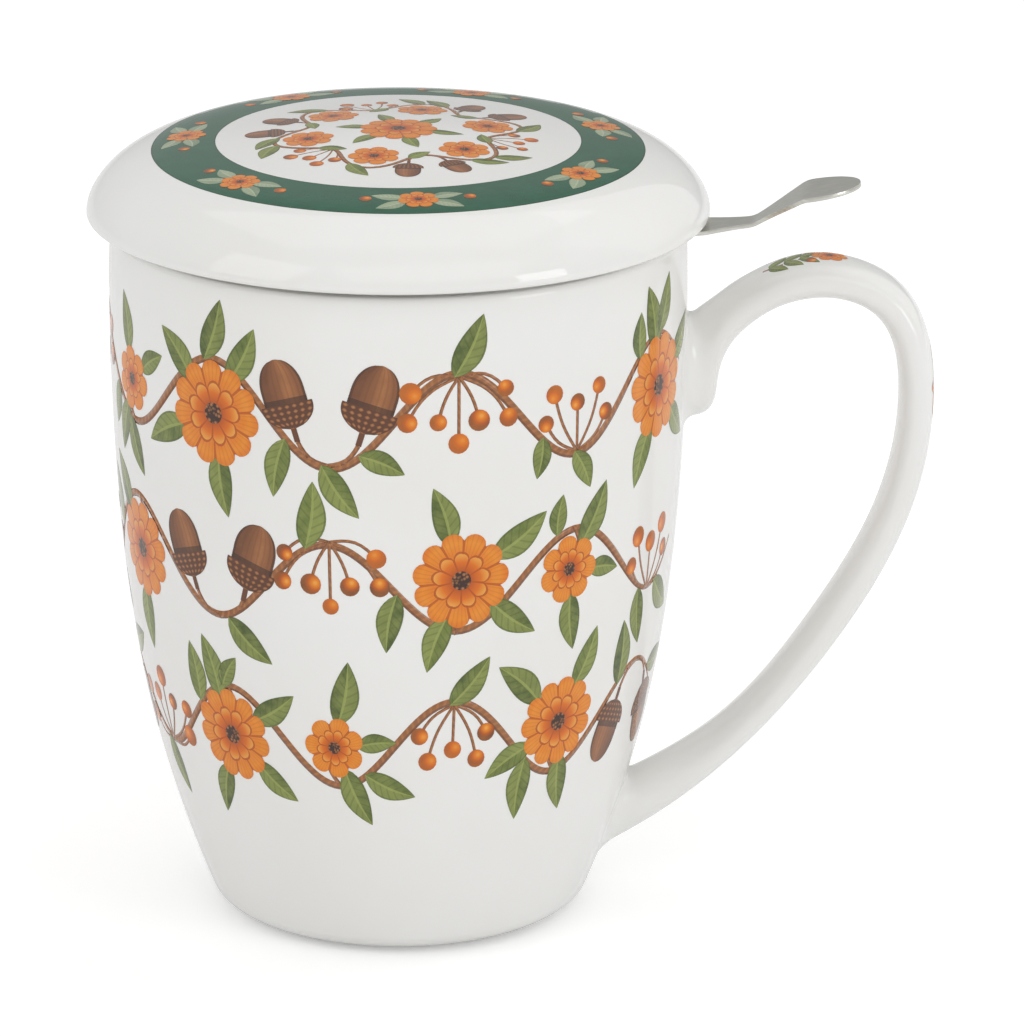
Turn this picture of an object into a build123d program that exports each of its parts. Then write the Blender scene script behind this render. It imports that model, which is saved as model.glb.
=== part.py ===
"""Porcelain tea mug with a lift-out steel infuser and a lift-off lid.

Millimetres, +Z up. The origin is the centre of the foot, on the mug's axis.
The handle points along +X.
"""
import os

from build123d import *

# Mug body
body_radius = 42.0
body_height = 104.0
wall_thickness = 3.4
floor_thickness = 6.0
foot_radius = 21.0
foot_width = 2.8
foot_recess = 1.6
# The rounds of the rim, as shares of the wall's thickness
rim_outer_share = 0.26
rim_inner_share = 0.15
# The outer wall from the heel to the rim, as (radius share, height share)
wall_shares = [
    (0.667, 0.033),
    (0.780, 0.160),
    (0.894, 0.340),
    (0.976, 0.600),
    (1.000, 0.860),
    (0.996, 1.000),
]
# The wall point where the inside starts to turn into the floor, and the share of that radius where the
# floor is level
floor_turn_index = 1
floor_flat_share = 0.62
# How far the heel rises, as it leaves the foot ring, for each length that it runs outwards
heel_rise_share = 0.12

# Handle
handle_projection = 36.5
handle_width = 11.0
handle_thickness = 5.0
spur_reach = 4.5
spur_drop = 8.5
spur_round = 3.0
# The thin joint where the handle is luted to the body
luting_gap = 0.05
# The round along the handle's edges, as a share of its thickness
handle_edge_share = 0.40
# The middle line from the upper root to the lower root, as shares of the handle's projection from the body,
# of the body's height and of the handle's thickness
handle_shares = [
    (-0.096, 0.799, 1.55),
    (0.151, 0.862, 1.15),
    (0.260, 0.889, 0.96),
    (0.389, 0.911, 0.95),
    (0.556, 0.919, 0.97),
    (0.805, 0.883, 1.00),
    (0.929, 0.745, 0.93),
    (0.819, 0.565, 0.90),
    (0.564, 0.403, 0.90),
    (0.167, 0.236, 0.92),
    (-0.027, 0.183, 1.17),
    (-0.356, 0.118, 1.58),
]
# The first middle-line point whose inner edge is clear of the spur
spur_clear_index = 2
# Where the spur's outer side starts to bend towards the loop, as a share of the spur's height on the wall
spur_straight_share = 0.45

# Infuser
steel_sheet = 0.6
sleeve_sheet = 0.5
weld_gap = 0.05
# The flange's edge stands in from the rim's outer edge, and the collar from the mouth
flange_inset = 2.1
collar_inset = 7.3
collar_depth = 9.0
bend_round = 1.2
sleeve_lap = 6.5
# From the mug's floor up to the infuser's underside
infuser_floor_gap = 28.0
base_upstand = 4.0
base_bend_round = 1.0
sleeve_hole_radius = 1.1
sleeve_hole_rows = 9
sleeve_hole_columns = 22
sleeve_hole_margin = 5.0
base_hole_radius = 1.1
base_hole_rings = 4
base_hole_margin = 6.0

# Lifting tab: how deep it is let into the flange, how far it reaches past the lid's edge, and its rises
tab_turn = -6.3
tab_root_inset = 5.7
tab_root_straight = 4.0
tab_flat_inset = 0.5
tab_neck_reach = 6.3
tab_knee_reach = 13.7
tab_spoon_reach = 15.1
tab_tip_reach = 21.7
tab_neck_rise = 0.9
tab_knee_rise = 5.6
tab_tip_rise = 7.0
tab_bend_round = 4.0
tab_root_width = 11.0
tab_neck_width = 4.4
tab_spoon_width = 11.0

# Lid
lid_overhang = 3.3
lid_height = 13.2
# The edge rolls under to a level above the seat, in a flat quarter ellipse
lid_edge_width = 2.5
lid_edge_height = 0.75
lid_edge_lift = 0.6
# The seat reaches past the flange by a margin
lid_seat_margin = 1.7
lid_seat_width = 4.1
lid_channel_depth = 5.4
lid_crown_thickness = 4.2
lid_ceiling_sag = 2.0
skirt_clearance = 0.55
skirt_drop = 6.5
skirt_thickness = 3.2
# The rounds under the lid, as a share of the skirt's thickness
lid_inner_share = 0.31
# The dome above its widest line, as (radius share, height share)
dome_shares = [(0.974, 0.348), (0.845, 0.704), (0.592, 0.861)]

cut_overrun = 2.0

# Levels and radii that the pieces share
rim_level = body_height
lid_level = rim_level + steel_sheet
rim_radius = body_radius * wall_shares[-1][0]
lid_radius = rim_radius + lid_overhang
flange_radius = rim_radius - flange_inset
collar_radius = rim_radius - wall_thickness - collar_inset
collar_inside = collar_radius - steel_sheet
sleeve_radius = collar_inside - weld_gap
sleeve_inside = sleeve_radius - sleeve_sheet
base_radius = sleeve_inside - weld_gap
skirt_radius = sleeve_inside - skirt_clearance
infuser_bottom = floor_thickness + infuser_floor_gap
tab_root = flange_radius - tab_root_inset
tab_spoon = lid_radius + tab_spoon_reach
tab_tip = lid_radius + tab_tip_reach
tab_neck = lid_radius + tab_neck_reach

wall_points = [(body_radius * r, body_height * z) for r, z in wall_shares]
inside_points = [(r - wall_thickness, z) for r, z in wall_points[floor_turn_index:]]


def outer_wall_line(gap):
    """Draw the mug's outer wall from the foot ring to the rim, grown by a gap, and return its upper curve."""
    wall = Spline(*[(r + gap, z) for r, z in wall_points])
    heel_start = (foot_radius + gap, 0)
    Spline(heel_start, wall @ 0, tangents=[(1, heel_rise_share), wall % 0])
    return wall


# The room that the body takes up, which the handle is cut back to
with BuildPart() as body_room:
    with BuildSketch(Plane.XZ):
        with BuildLine():
            wall = outer_wall_line(luting_gap)
            Polyline(wall @ 1, (0, rim_level), (0, 0), (foot_radius + luting_gap, 0))
        make_face()
    revolve(axis=Axis.Z)

with BuildPart() as mug_body:
    with BuildSketch(Plane.XZ):
        with BuildLine():
            wall = outer_wall_line(0)
            inside = Spline(*reversed(inside_points))
            Line(wall @ 1, inside @ 0)
            floor_edge = (inside_points[0][0] * floor_flat_share, floor_thickness)
            floor_turn = Spline(inside @ 1, floor_edge, tangents=[inside % 1, (-1, 0)])
            foot_inside = foot_radius - foot_width
            Polyline(
                floor_turn @ 1,
                (0, floor_thickness),
                (0, foot_recess),
                (foot_inside - foot_recess, foot_recess),
                (foot_inside, 0),
                (foot_radius, 0),
            )
        make_face()
    revolve(axis=Axis.Z)
    rim_edges = mug_body.edges().filter_by(GeomType.CIRCLE).group_by(Axis.Z)[-1].sort_by(SortBy.RADIUS)
    fillet(rim_edges[-1], wall_thickness * rim_outer_share)
    rim_edges = mug_body.edges().filter_by(GeomType.CIRCLE).group_by(Axis.Z)[-1].sort_by(SortBy.RADIUS)
    fillet(rim_edges[0], wall_thickness * rim_inner_share)
mug_body.part.label = "mug_body"

with BuildPart() as mug_handle:
    with BuildSketch(Plane.XZ):
        with BuildLine():
            middle_points = []
            for out_share, height_share, thickness_share in handle_shares:
                out = body_radius + handle_projection * out_share
                middle_points.append(Vector(out, body_height * height_share))
            middle = Spline(*middle_points, mode=Mode.PRIVATE)
            outer_points = []
            inner_points = []
            for point, shares in zip(middle_points, handle_shares):
                along = middle.tangent_at(middle.param_at_point(point))
                across = Vector(-along.Y, along.X) * (handle_thickness * shares[-1] / 2)
                outer_points.append(point + across)
                inner_points.append(point - across)
            spur_side = body_radius + spur_reach
            spur_bottom = middle_points[0].Y - spur_drop
            spur_top = inner_points[spur_clear_index].Y
            spur_bend = (spur_side, spur_bottom + (spur_top - spur_bottom) * spur_straight_share)
            spur_root = (middle_points[0].X, spur_bottom)
            outer_edge = Spline(*outer_points)
            inner_edge = Spline(
                spur_bend,
                *inner_points[spur_clear_index:],
                tangents=[(0, 1), middle % 1],
                tangent_scalars=[1, 1],
            )
            FilletPolyline(inner_edge @ 0, (spur_side, spur_bottom), spur_root, radius=spur_round)
            Line(spur_root, outer_edge @ 0)
            Line(outer_edge @ 1, inner_edge @ 1)
        make_face()
    extrude(amount=handle_width / 2, both=True)
    fillet(mug_handle.faces().filter_by(Axis.Y).edges(), handle_thickness * handle_edge_share)
    add(body_room.part, mode=Mode.SUBTRACT)
mug_handle.part.label = "mug_handle"

with BuildPart() as lid:
    with BuildSketch(Plane.XZ):
        with BuildLine():
            lid_top = lid_level + lid_height
            edge_middle = (lid_radius - lid_edge_width, lid_level + lid_edge_lift + lid_edge_height)
            seat_outside = flange_radius + lid_seat_margin
            seat_inside = seat_outside - lid_seat_width
            channel_top = lid_level + lid_channel_depth
            skirt_bottom = lid_level - skirt_drop
            skirt_inside = skirt_radius - skirt_thickness
            ceiling = lid_top - lid_crown_thickness
            edge = EllipticalCenterArc(edge_middle, lid_edge_width, lid_edge_height, start_angle=-90, arc_size=90)
            dome_points = [(lid_radius * r, lid_level + lid_height * z) for r, z in dome_shares]
            dome = Spline(
                edge @ 1,
                *dome_points,
                (0, lid_top),
                tangents=[(0, 1), (-1, 0)],
                tangent_scalars=[1, 1],
            )
            underside = FilletPolyline(
                edge @ 0,
                (seat_outside, lid_level),
                (seat_inside, lid_level),
                (seat_inside, channel_top),
                (skirt_radius, channel_top),
                (skirt_radius, skirt_bottom),
                (skirt_inside, skirt_bottom),
                (skirt_inside, ceiling - lid_ceiling_sag),
                radius=skirt_thickness * lid_inner_share,
            )
            TangentArc((0, ceiling), underside @ 1, tangent=(1, 0))
            Line((0, ceiling), dome @ 1)
        make_face()
    revolve(axis=Axis.Z)
lid.part.label = "lid"

# The tab lies turned about the mug's axis: its side view and its plan each have a plane
tab_side = Plane.XZ.rotated((0, 0, tab_turn))
tab_plan = Plane.XY.rotated((0, 0, tab_turn))


def tab_outline(gap):
    """Draw the tab's plan, a broad root, a narrow neck and a rounded spoon, grown by a gap on all sides."""
    root_half = tab_root_width / 2 + gap
    neck_half = tab_neck_width / 2 + gap
    spoon_half = tab_spoon_width / 2 + gap
    root_end = tab_root + tab_root_straight
    sides = [(root_end, root_half), (tab_neck, neck_half), (tab_spoon, spoon_half)]
    Polyline((tab_root - gap, 0), (tab_root - gap, root_half), sides[0])
    Spline(*sides, tangents=[(1, 0)] * len(sides))
    EllipticalCenterArc((tab_spoon, 0), tab_tip + gap - tab_spoon, spoon_half, start_angle=0, arc_size=90)
    mirror(about=Plane.XZ)


with BuildPart() as infuser_tab:
    with BuildSketch(tab_side):
        with BuildLine():
            sheet_middle = rim_level + steel_sheet / 2
            FilletPolyline(
                (tab_root, sheet_middle),
                (lid_radius - tab_flat_inset, sheet_middle),
                (tab_neck, sheet_middle + tab_neck_rise),
                (lid_radius + tab_knee_reach, sheet_middle + tab_knee_rise),
                (tab_tip, sheet_middle + tab_tip_rise),
                radius=tab_bend_round,
            )
        trace(line_width=steel_sheet)
    extrude(amount=tab_root_width, both=True)
    with BuildSketch(tab_plan.offset(rim_level - cut_overrun)):
        with BuildLine():
            tab_outline(0)
        make_face()
    extrude(amount=tab_tip_rise + steel_sheet + 2 * cut_overrun, mode=Mode.INTERSECT)
infuser_tab.part.label = "infuser_tab"

with BuildPart() as infuser_rim:
    with BuildSketch(Plane.XZ):
        with BuildLine():
            collar_bottom = rim_level - collar_depth
            upper = FilletPolyline(
                (flange_radius, lid_level),
                (collar_inside, lid_level),
                (collar_inside, collar_bottom),
                radius=bend_round + steel_sheet,
            )
            lower = FilletPolyline(
                (flange_radius, rim_level),
                (collar_radius, rim_level),
                (collar_radius, collar_bottom),
                radius=bend_round,
            )
            Line(upper @ 0, lower @ 0)
            Line(upper @ 1, lower @ 1)
        make_face()
    revolve(axis=Axis.Z)
    with BuildSketch(tab_plan.offset(rim_level - cut_overrun)):
        with BuildLine():
            tab_outline(weld_gap)
        make_face()
    extrude(amount=steel_sheet + 2 * cut_overrun, mode=Mode.SUBTRACT)
infuser_rim.part.label = "infuser_rim"

with BuildPart() as infuser_sleeve:
    sleeve_top = collar_bottom + sleeve_lap
    with BuildSketch(Plane.XY.offset(infuser_bottom)):
        Circle(sleeve_radius)
        Circle(sleeve_inside, mode=Mode.SUBTRACT)
    extrude(amount=sleeve_top - infuser_bottom)
    lowest_row = infuser_bottom + base_upstand + sleeve_hole_margin
    row_pitch = (collar_bottom - sleeve_hole_margin - lowest_row) / (sleeve_hole_rows - 1)
    column_angle = 360 / sleeve_hole_columns
    for row in range(sleeve_hole_rows):
        row_start = column_angle / 2 * (row % 2)
        with Locations((0, 0, lowest_row + row_pitch * row)):
            with PolarLocations(sleeve_radius, sleeve_hole_columns, start_angle=row_start):
                Cylinder(sleeve_hole_radius, cut_overrun, rotation=(0, 90, 0), mode=Mode.SUBTRACT)
infuser_sleeve.part.label = "infuser_sleeve"

with BuildPart() as infuser_base:
    with BuildSketch(Plane.XZ):
        with BuildLine():
            upstand_top = infuser_bottom + base_upstand
            plate_top = infuser_bottom + sleeve_sheet
            upstand_inside = base_radius - sleeve_sheet
            below = FilletPolyline(
                (0, infuser_bottom),
                (base_radius, infuser_bottom),
                (base_radius, upstand_top),
                radius=base_bend_round + sleeve_sheet,
            )
            above = FilletPolyline(
                (0, plate_top),
                (upstand_inside, plate_top),
                (upstand_inside, upstand_top),
                radius=base_bend_round,
            )
            Line(below @ 0, above @ 0)
            Line(below @ 1, above @ 1)
        make_face()
    revolve(axis=Axis.Z)
    ring_pitch = (upstand_inside - base_bend_round - base_hole_margin) / base_hole_rings
    with Locations((0, 0, infuser_bottom)):
        Cylinder(base_hole_radius, cut_overrun, mode=Mode.SUBTRACT)
        for ring in range(1, base_hole_rings + 1):
            with PolarLocations(ring_pitch * ring, 6 * ring):
                Cylinder(base_hole_radius, cut_overrun, mode=Mode.SUBTRACT)
infuser_base.part.label = "infuser_base"

os.makedirs("parts", exist_ok=True)
for piece in (mug_body, mug_handle, lid, infuser_rim, infuser_tab, infuser_sleeve, infuser_base):
    export_step(piece.part, f"parts/{piece.part.label}.step")
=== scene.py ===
# %% [markdown]
# A porcelain tea mug with a lift-out infuser
#
# The CAD model is the fixed frame: it says where each piece is and how it moves. This script dresses it:
# glazed porcelain, a printed design, satin steel, soft studio light and a camera where the photographer
# stood. The mug's sizes are written in millimetres and multiplied by MM, since Blender's lengths are in
# metres. Those of the lamps and the camera's distance are in metres.

# %% Load the frame
import math
import random

import bmesh
import bpy
import numpy as np
from mathutils import Matrix, Vector


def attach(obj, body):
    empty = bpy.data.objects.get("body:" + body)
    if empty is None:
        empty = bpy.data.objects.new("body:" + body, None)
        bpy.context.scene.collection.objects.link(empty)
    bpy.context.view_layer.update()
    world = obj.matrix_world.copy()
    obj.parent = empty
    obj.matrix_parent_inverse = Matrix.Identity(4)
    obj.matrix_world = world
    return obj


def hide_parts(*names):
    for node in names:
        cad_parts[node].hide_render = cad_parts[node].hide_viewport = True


MM = 0.001
TURN = 2 * math.pi
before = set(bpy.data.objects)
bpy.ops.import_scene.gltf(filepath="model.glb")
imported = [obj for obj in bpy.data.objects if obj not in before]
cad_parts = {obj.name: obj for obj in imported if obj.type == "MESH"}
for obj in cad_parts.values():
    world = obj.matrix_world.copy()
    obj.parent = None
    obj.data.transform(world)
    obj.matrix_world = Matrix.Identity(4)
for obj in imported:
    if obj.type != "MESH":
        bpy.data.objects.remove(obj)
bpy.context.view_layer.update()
scene = bpy.context.scene
scene.view_settings.view_transform = "Standard"
print("nodes:", sorted(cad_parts))

# %% [markdown]
# Small helpers
#
# A few jobs come up again and again. A smooth line runs through a few given points, as a
# draughtsman's spline does. A lathe turns a half outline about the mug's axis, as a potter's wheel does.
# Others make meshes, add nodes to a tree, and let the numbers that a tree works out be used in plain sums.

# %% Smooth lines through points


def smooth_line(points, count, start=None, end=None):
    """Sample a cubic spline through the points, with set directions at its ends if given."""
    p = np.array(points, float)
    t = np.r_[0, np.cumsum(np.linalg.norm(np.diff(p, axis=0), axis=1))]
    h = np.diff(t)
    slope = np.diff(p, axis=0) / h[:, None]
    n = len(p)
    matrix = np.eye(n)
    known = np.zeros_like(p)
    for i in range(1, n - 1):
        matrix[i, i - 1:i + 2] = 1 / h[i - 1], 2 / h[i - 1] + 2 / h[i], 1 / h[i]
        known[i] = 3 * (slope[i - 1] / h[i - 1] + slope[i] / h[i])
    for row, given, side, near in ((0, start, 0, 1), (n - 1, end, -1, -2)):
        if given is not None:
            known[row] = np.array(given, float) / np.linalg.norm(given)
        elif n > 2:
            known[row] = slope[side] + (slope[side] - slope[near]) * h[side] / (h[side] + h[near])
        else:
            known[row] = slope[0]
    speed = np.linalg.solve(matrix, known)
    at = np.linspace(0, t[-1], count)
    i = np.clip(np.searchsorted(t, at, side="right") - 1, 0, n - 2)
    w = ((at - t[i]) / h[i])[:, None]
    span = h[i][:, None]
    return ((2 * w**3 - 3 * w**2 + 1) * p[i] + (w**3 - 2 * w**2 + w) * span * speed[i]
            + (3 * w**2 - 2 * w**3) * p[i + 1] + (w**3 - w**2) * span * speed[i + 1])


def softened(corners, radius, steps=6):
    """Walk along straight runs and round each inner corner with an arc of the given radius."""
    p = np.array(corners, float)
    out = [p[0]]
    for a, b, c in zip(p, p[1:], p[2:]):
        back = (a - b) / np.linalg.norm(a - b)
        on = (c - b) / np.linalg.norm(c - b)
        half = math.acos(np.clip(back @ on, -1, 1)) / 2
        reach = radius / math.tan(half)
        middle = b + (back + on) / np.linalg.norm(back + on) * radius / math.sin(half)
        for k in np.linspace(0, 1, steps):
            near = b + back * reach * (1 - k) + on * reach * k - middle
            out.append(middle + near / np.linalg.norm(near) * radius)
    out.append(p[-1])
    return np.array(out)


def quarter(centre, radius, first, last, steps=9):
    """Points on an arc about a centre, between two angles in degrees."""
    angles = np.radians(np.linspace(first, last, steps))
    return np.stack([centre[0] + radius * np.cos(angles), centre[1] + radius * np.sin(angles)], -1)


# %% Meshes


def grid_faces(rows, columns, closed=False):
    """Faces over a grid of points, row after row; in a closed grid the last column joins the first."""
    faces = []
    for i in range(rows - 1):
        for k in range(columns if closed else columns - 1):
            m = (k + 1) % columns
            faces.append((i * columns + k, i * columns + m, (i + 1) * columns + m, (i + 1) * columns + k))
    return faces


def mesh_piece(name, verts, faces, finish=None):
    """Make a smooth mesh object at the origin from vertices in millimetres."""
    mesh = bpy.data.meshes.new(name)
    mesh.from_pydata([tuple(float(c) * MM for c in v) for v in verts], [], faces)
    bm = bmesh.new()
    bm.from_mesh(mesh)
    bmesh.ops.remove_doubles(bm, verts=bm.verts, dist=1e-7)
    bmesh.ops.recalc_face_normals(bm, faces=bm.faces)
    for face in bm.faces:
        face.smooth = True
    bm.to_mesh(mesh)
    bm.free()
    if finish:
        mesh.materials.append(finish)
    obj = bpy.data.objects.new(name, mesh)
    scene.collection.objects.link(obj)
    return obj


def lathe(name, outline, turns, finish=None):
    """Turn a half outline of (radius, height) about the axis; points on the axis merge into one."""
    angles = np.linspace(0, TURN, turns, endpoint=False)
    verts = [(r * math.cos(a), r * math.sin(a), z) for r, z in outline for a in angles]
    return mesh_piece(name, verts, grid_faces(len(outline), turns, closed=True), finish)


def settled(obj):
    """Turn an object's modifiers into a plain mesh."""
    graph = bpy.context.evaluated_depsgraph_get()
    mesh = bpy.data.meshes.new_from_object(obj.evaluated_get(graph))
    obj.modifiers.clear()
    obj.data = mesh


def stand_for(piece, node, body):
    """Let a finished piece take a CAD node's place."""
    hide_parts(node)
    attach(piece, body)
    print(piece.name, "faces", len(piece.data.polygons))


# %% Nodes


def feed(node, feeds):
    """Feed a node's inputs, by name or number, with values, tree numbers or other nodes' outputs."""
    for key, value in feeds.items():
        value = value.socket if isinstance(value, Number) else value
        if isinstance(value, bpy.types.NodeSocket):
            node.id_data.links.new(value, node.inputs[key])
        else:
            node.inputs[key].default_value = value


def put(tree, kind, feeds=(), **settings):
    """Add a node to a tree, set its options and feed its inputs."""
    node = tree.nodes.new(kind)
    for key, value in settings.items():
        setattr(node, key, value)
    feed(node, dict(feeds))
    return node


# %% Numbers of a tree


def tree_of(*values):
    """The tree that the first tree number among these values belongs to."""
    return next(value.socket.id_data for value in values if isinstance(value, Number))


def calc(operation, *values):
    """One step of a tree's arithmetic, on tree numbers and plain ones."""
    node = put(tree_of(*values), "ShaderNodeMath", dict(enumerate(values)), operation=operation)
    return Number(node.outputs[0])


class Number:
    """A number that a tree works out. It is used in sums and comparisons as a plain number is."""

    def __init__(self, socket):
        self.socket = socket

    def __abs__(self):
        return calc("ABSOLUTE", self)

    def __add__(self, other):
        return calc("ADD", self, other)

    def __sub__(self, other):
        return calc("SUBTRACT", self, other)

    def __mul__(self, other):
        return calc("MULTIPLY", self, other)

    def __truediv__(self, other):
        return calc("DIVIDE", self, other)

    def __mod__(self, other):
        return calc("MODULO", self, other)

    def __pow__(self, other):
        return calc("POWER", self, other)

    def __gt__(self, other):
        return calc("GREATER_THAN", self, other)

    def __lt__(self, other):
        return calc("LESS_THAN", self, other)


def spread(value, low, high, start=0.0, stop=1.0):
    """Map a number between start and stop onto the range from low to high."""
    feeds = {"Value": value, "From Min": start, "From Max": stop, "To Min": low, "To Max": high}
    return Number(put(tree_of(value), "ShaderNodeMapRange", feeds).outputs["Result"])


def vector(x=0.0, y=0.0, z=0.0):
    """A vector from three numbers, of which one at least is a tree's."""
    return put(tree_of(x, y, z), "ShaderNodeCombineXYZ", {0: x, 1: y, 2: z}).outputs[0]


def axes(tree, place):
    """The x, y and z of a vector, as numbers."""
    return [Number(socket) for socket in put(tree, "ShaderNodeSeparateXYZ", {0: place}).outputs]


def measure(tree, operation, *vectors):
    """A number from one or two vectors, such as a length or a distance."""
    node = put(tree, "ShaderNodeVectorMath", dict(enumerate(vectors)), operation=operation)
    return Number(node.outputs["Value"])


# %% Parts of a material


def new_finish(name):
    """Start a material, and return it with its tree, its shader and the object coordinates."""
    material = bpy.data.materials.new(name)
    material.use_nodes = True
    tree = material.node_tree
    place = put(tree, "ShaderNodeTexCoord").outputs["Object"]
    return material, tree, tree.nodes["Principled BSDF"], place


def noise(tree, place, scale, detail, roughness=0.5):
    """A cloudy noise from 0 to 1."""
    feeds = {"Vector": place, "Scale": scale, "Detail": detail, "Roughness": roughness}
    return Number(put(tree, "ShaderNodeTexNoise", feeds).outputs["Fac"])


def bumps(height, strength, depth):
    """Normals for a bumpy surface, whose depth is in millimetres."""
    feeds = {"Height": height, "Strength": strength, "Distance": depth * MM}
    return put(tree_of(height), "ShaderNodeBump", feeds).outputs["Normal"]


def ramp(factor, stops):
    """A colour ramp with the given (position, colour) stops."""
    node = put(tree_of(factor), "ShaderNodeValToRGB", {"Fac": factor})
    elements = node.color_ramp.elements
    while len(elements) < len(stops):
        elements.new(0.5)
    for element, (position, colour) in zip(elements, stops):
        element.position = position
        element.color = (*colour, 1)
    return node.outputs["Color"]


def blend(share, first, second):
    """Mix two colours, each a plain colour or another node's output, by a share."""
    feeds = {0: share}
    for number, value in ((6, first), (7, second)):
        feeds[number] = (*value, 1) if isinstance(value, tuple) else value
    return put(tree_of(share), "ShaderNodeMix", feeds, data_type="RGBA").outputs[2]


# %% [markdown]
# The camera
#
# The photograph was taken with a long lens, from a little above and a metre away. These numbers come from
# fitting the outlines of the lid, the body and the handle to the photograph. The image is 1024 by 1036
# pixels, so the taller side takes the 36 mm of the sensor.

# %% Camera
PHOTO_HEIGHT_PX = 1036
LENS_PX = 6896.0
SENSOR_MM = 36.0
CAMERA_ELEVATION = math.radians(15.385)
CAMERA_ROLL = math.radians(0.17)
CAMERA_DISTANCE = 1.0
GAP_POINT = Vector((0, 0, 104.74 * MM))
AIM_RIGHT = 16.37 * MM
AIM_UP = -43.99 * MM

view_up = Vector((0, math.sin(CAMERA_ELEVATION), math.cos(CAMERA_ELEVATION)))
view_back = Vector((0, -math.cos(CAMERA_ELEVATION), math.sin(CAMERA_ELEVATION)))
camera_place = GAP_POINT + CAMERA_DISTANCE * view_back
aim = GAP_POINT + Vector((AIM_RIGHT, 0, 0)) + view_up * AIM_UP
camera_data = bpy.data.cameras.new("camera")
camera_data.sensor_width = SENSOR_MM
camera_data.lens = SENSOR_MM * LENS_PX / PHOTO_HEIGHT_PX
camera = bpy.data.objects.new("camera", camera_data)
scene.collection.objects.link(camera)
look = (aim - camera_place).to_track_quat("-Z", "Y").to_matrix().to_4x4()
camera.matrix_world = Matrix.Translation(camera_place) @ look @ Matrix.Rotation(CAMERA_ROLL, 4, "Z")
scene.camera = camera
print("lens", round(camera_data.lens, 2), "mm")

# %% [markdown]
# Glazed porcelain
#
# The mug, its handle and its lid are one white porcelain under a clear, very smooth glaze. A flat white
# would look like plastic. The glaze pools a little, so its colour drifts by a shade, its gloss varies, and
# its surface is very slightly wavy, which bends the long reflections. The foot ring is wiped bare before
# firing and stays rough.

# %% Porcelain finish
GLAZE_WARM = (0.858, 0.850, 0.824)
GLAZE_COOL = (0.882, 0.879, 0.862)
GLAZE_IOR = 1.5
BISCUIT = (0.72, 0.68, 0.60)
BISCUIT_ROUGHNESS = 0.75
BARE_FOOT_TOP = 0.35 * MM

porcelain, tree, shader, place = new_finish("porcelain_glaze")
drift = noise(tree, place, 34.0, 3.0, 0.45)
tone = ramp(drift, [(0.30, GLAZE_WARM), (0.70, GLAZE_COOL)])
bare = axes(tree, place)[2] < BARE_FOOT_TOP
feed(shader, {
    "Base Color": blend(bare, tone, BISCUIT),
    "Roughness": spread(bare, spread(drift, 0.015, 0.045), BISCUIT_ROUGHNESS),
    "Normal": bumps(noise(tree, place, 120.0, 1.0), 0.10, 0.10),
    "IOR": GLAZE_IOR,
})

# %% [markdown]
# The cup
#
# A mug like this is formed in a plaster mould, so it is a body of revolution: one outline, turned about the
# axis. The outline runs from the middle of the floor's underside, round the foot ring and the heel, up the
# wall, over the rounded rim and down the inside to the middle of the floor. A finer mesh than the CAD's
# keeps reflections clean.

# %% Cup outline
BODY_RADIUS = 42.0
BODY_HEIGHT = 104.0
WALL = 3.4
FLOOR = 6.0
FOOT_RADIUS = 21.0
FOOT_WIDTH = 2.8
FOOT_RECESS = 1.6
FOOT_ROUND = 0.5
HEEL_RISE_SHARE = 0.12
RIM_OUTER = 0.26 * WALL
RIM_INNER = 0.15 * WALL
WALL_SHARES = [
    (0.667, 0.033), (0.780, 0.160), (0.894, 0.340), (0.976, 0.600), (1.000, 0.860), (0.996, 1.000)]
FLOOR_FLAT_SHARE = 0.62
TURNS = 288

wall_points = [(BODY_RADIUS * r, BODY_HEIGHT * z) for r, z in WALL_SHARES]
wall_line = smooth_line(wall_points, 90)
wall_start = wall_line[1] - wall_line[0]
heel = smooth_line([(FOOT_RADIUS, 0), wall_points[0]], 16, start=(1, HEEL_RISE_SHARE), end=wall_start)
outer_side = np.concatenate([heel, wall_line[1:]])
rim_radius = wall_points[-1][0]
mouth_radius = rim_radius - WALL
inside_line = smooth_line([(r - WALL, z) for r, z in wall_points[1:]], 80)[::-1]
inside_end = inside_line[-1]
floor_edge = (inside_end[0] * FLOOR_FLAT_SHARE, FLOOR)
floor_turn = smooth_line([inside_end, floor_edge], 22, start=inside_end - inside_line[-2], end=(-1, 0))
foot_inside = FOOT_RADIUS - FOOT_WIDTH
underside = softened([
    (0, FOOT_RECESS),
    (foot_inside - FOOT_RECESS, FOOT_RECESS),
    (foot_inside, 0),
    (FOOT_RADIUS, 0),
], FOOT_ROUND)
cup_outline = np.concatenate([
    underside[:-1],
    outer_side[outer_side[:, 1] < BODY_HEIGHT - RIM_OUTER],
    quarter((rim_radius - RIM_OUTER, BODY_HEIGHT - RIM_OUTER), RIM_OUTER, 0, 90),
    quarter((mouth_radius + RIM_INNER, BODY_HEIGHT - RIM_INNER), RIM_INNER, 90, 180),
    inside_line[inside_line[:, 1] < BODY_HEIGHT - RIM_INNER],
    floor_turn[1:],
    [(0, FLOOR)],
])


def wall_radius(z):
    """The cup's outer radius at a height, both in millimetres."""
    return np.interp(z, outer_side[:, 1], outer_side[:, 0])


cup = lathe("cup", cup_outline, TURNS, porcelain)
stand_for(cup, "mug_body", "mug")
cad_cup = np.array([v.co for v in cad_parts["mug_body"].data.vertices]) / MM
miss = np.hypot(cad_cup[:, 0], cad_cup[:, 1]) - wall_radius(cad_cup[:, 2])
on_wall = (cad_cup[:, 2] > wall_points[0][1]) & (miss > -WALL / 2)
print("largest miss from the CAD wall", round(float(np.abs(miss[on_wall]).max()), 3), "mm")

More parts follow.
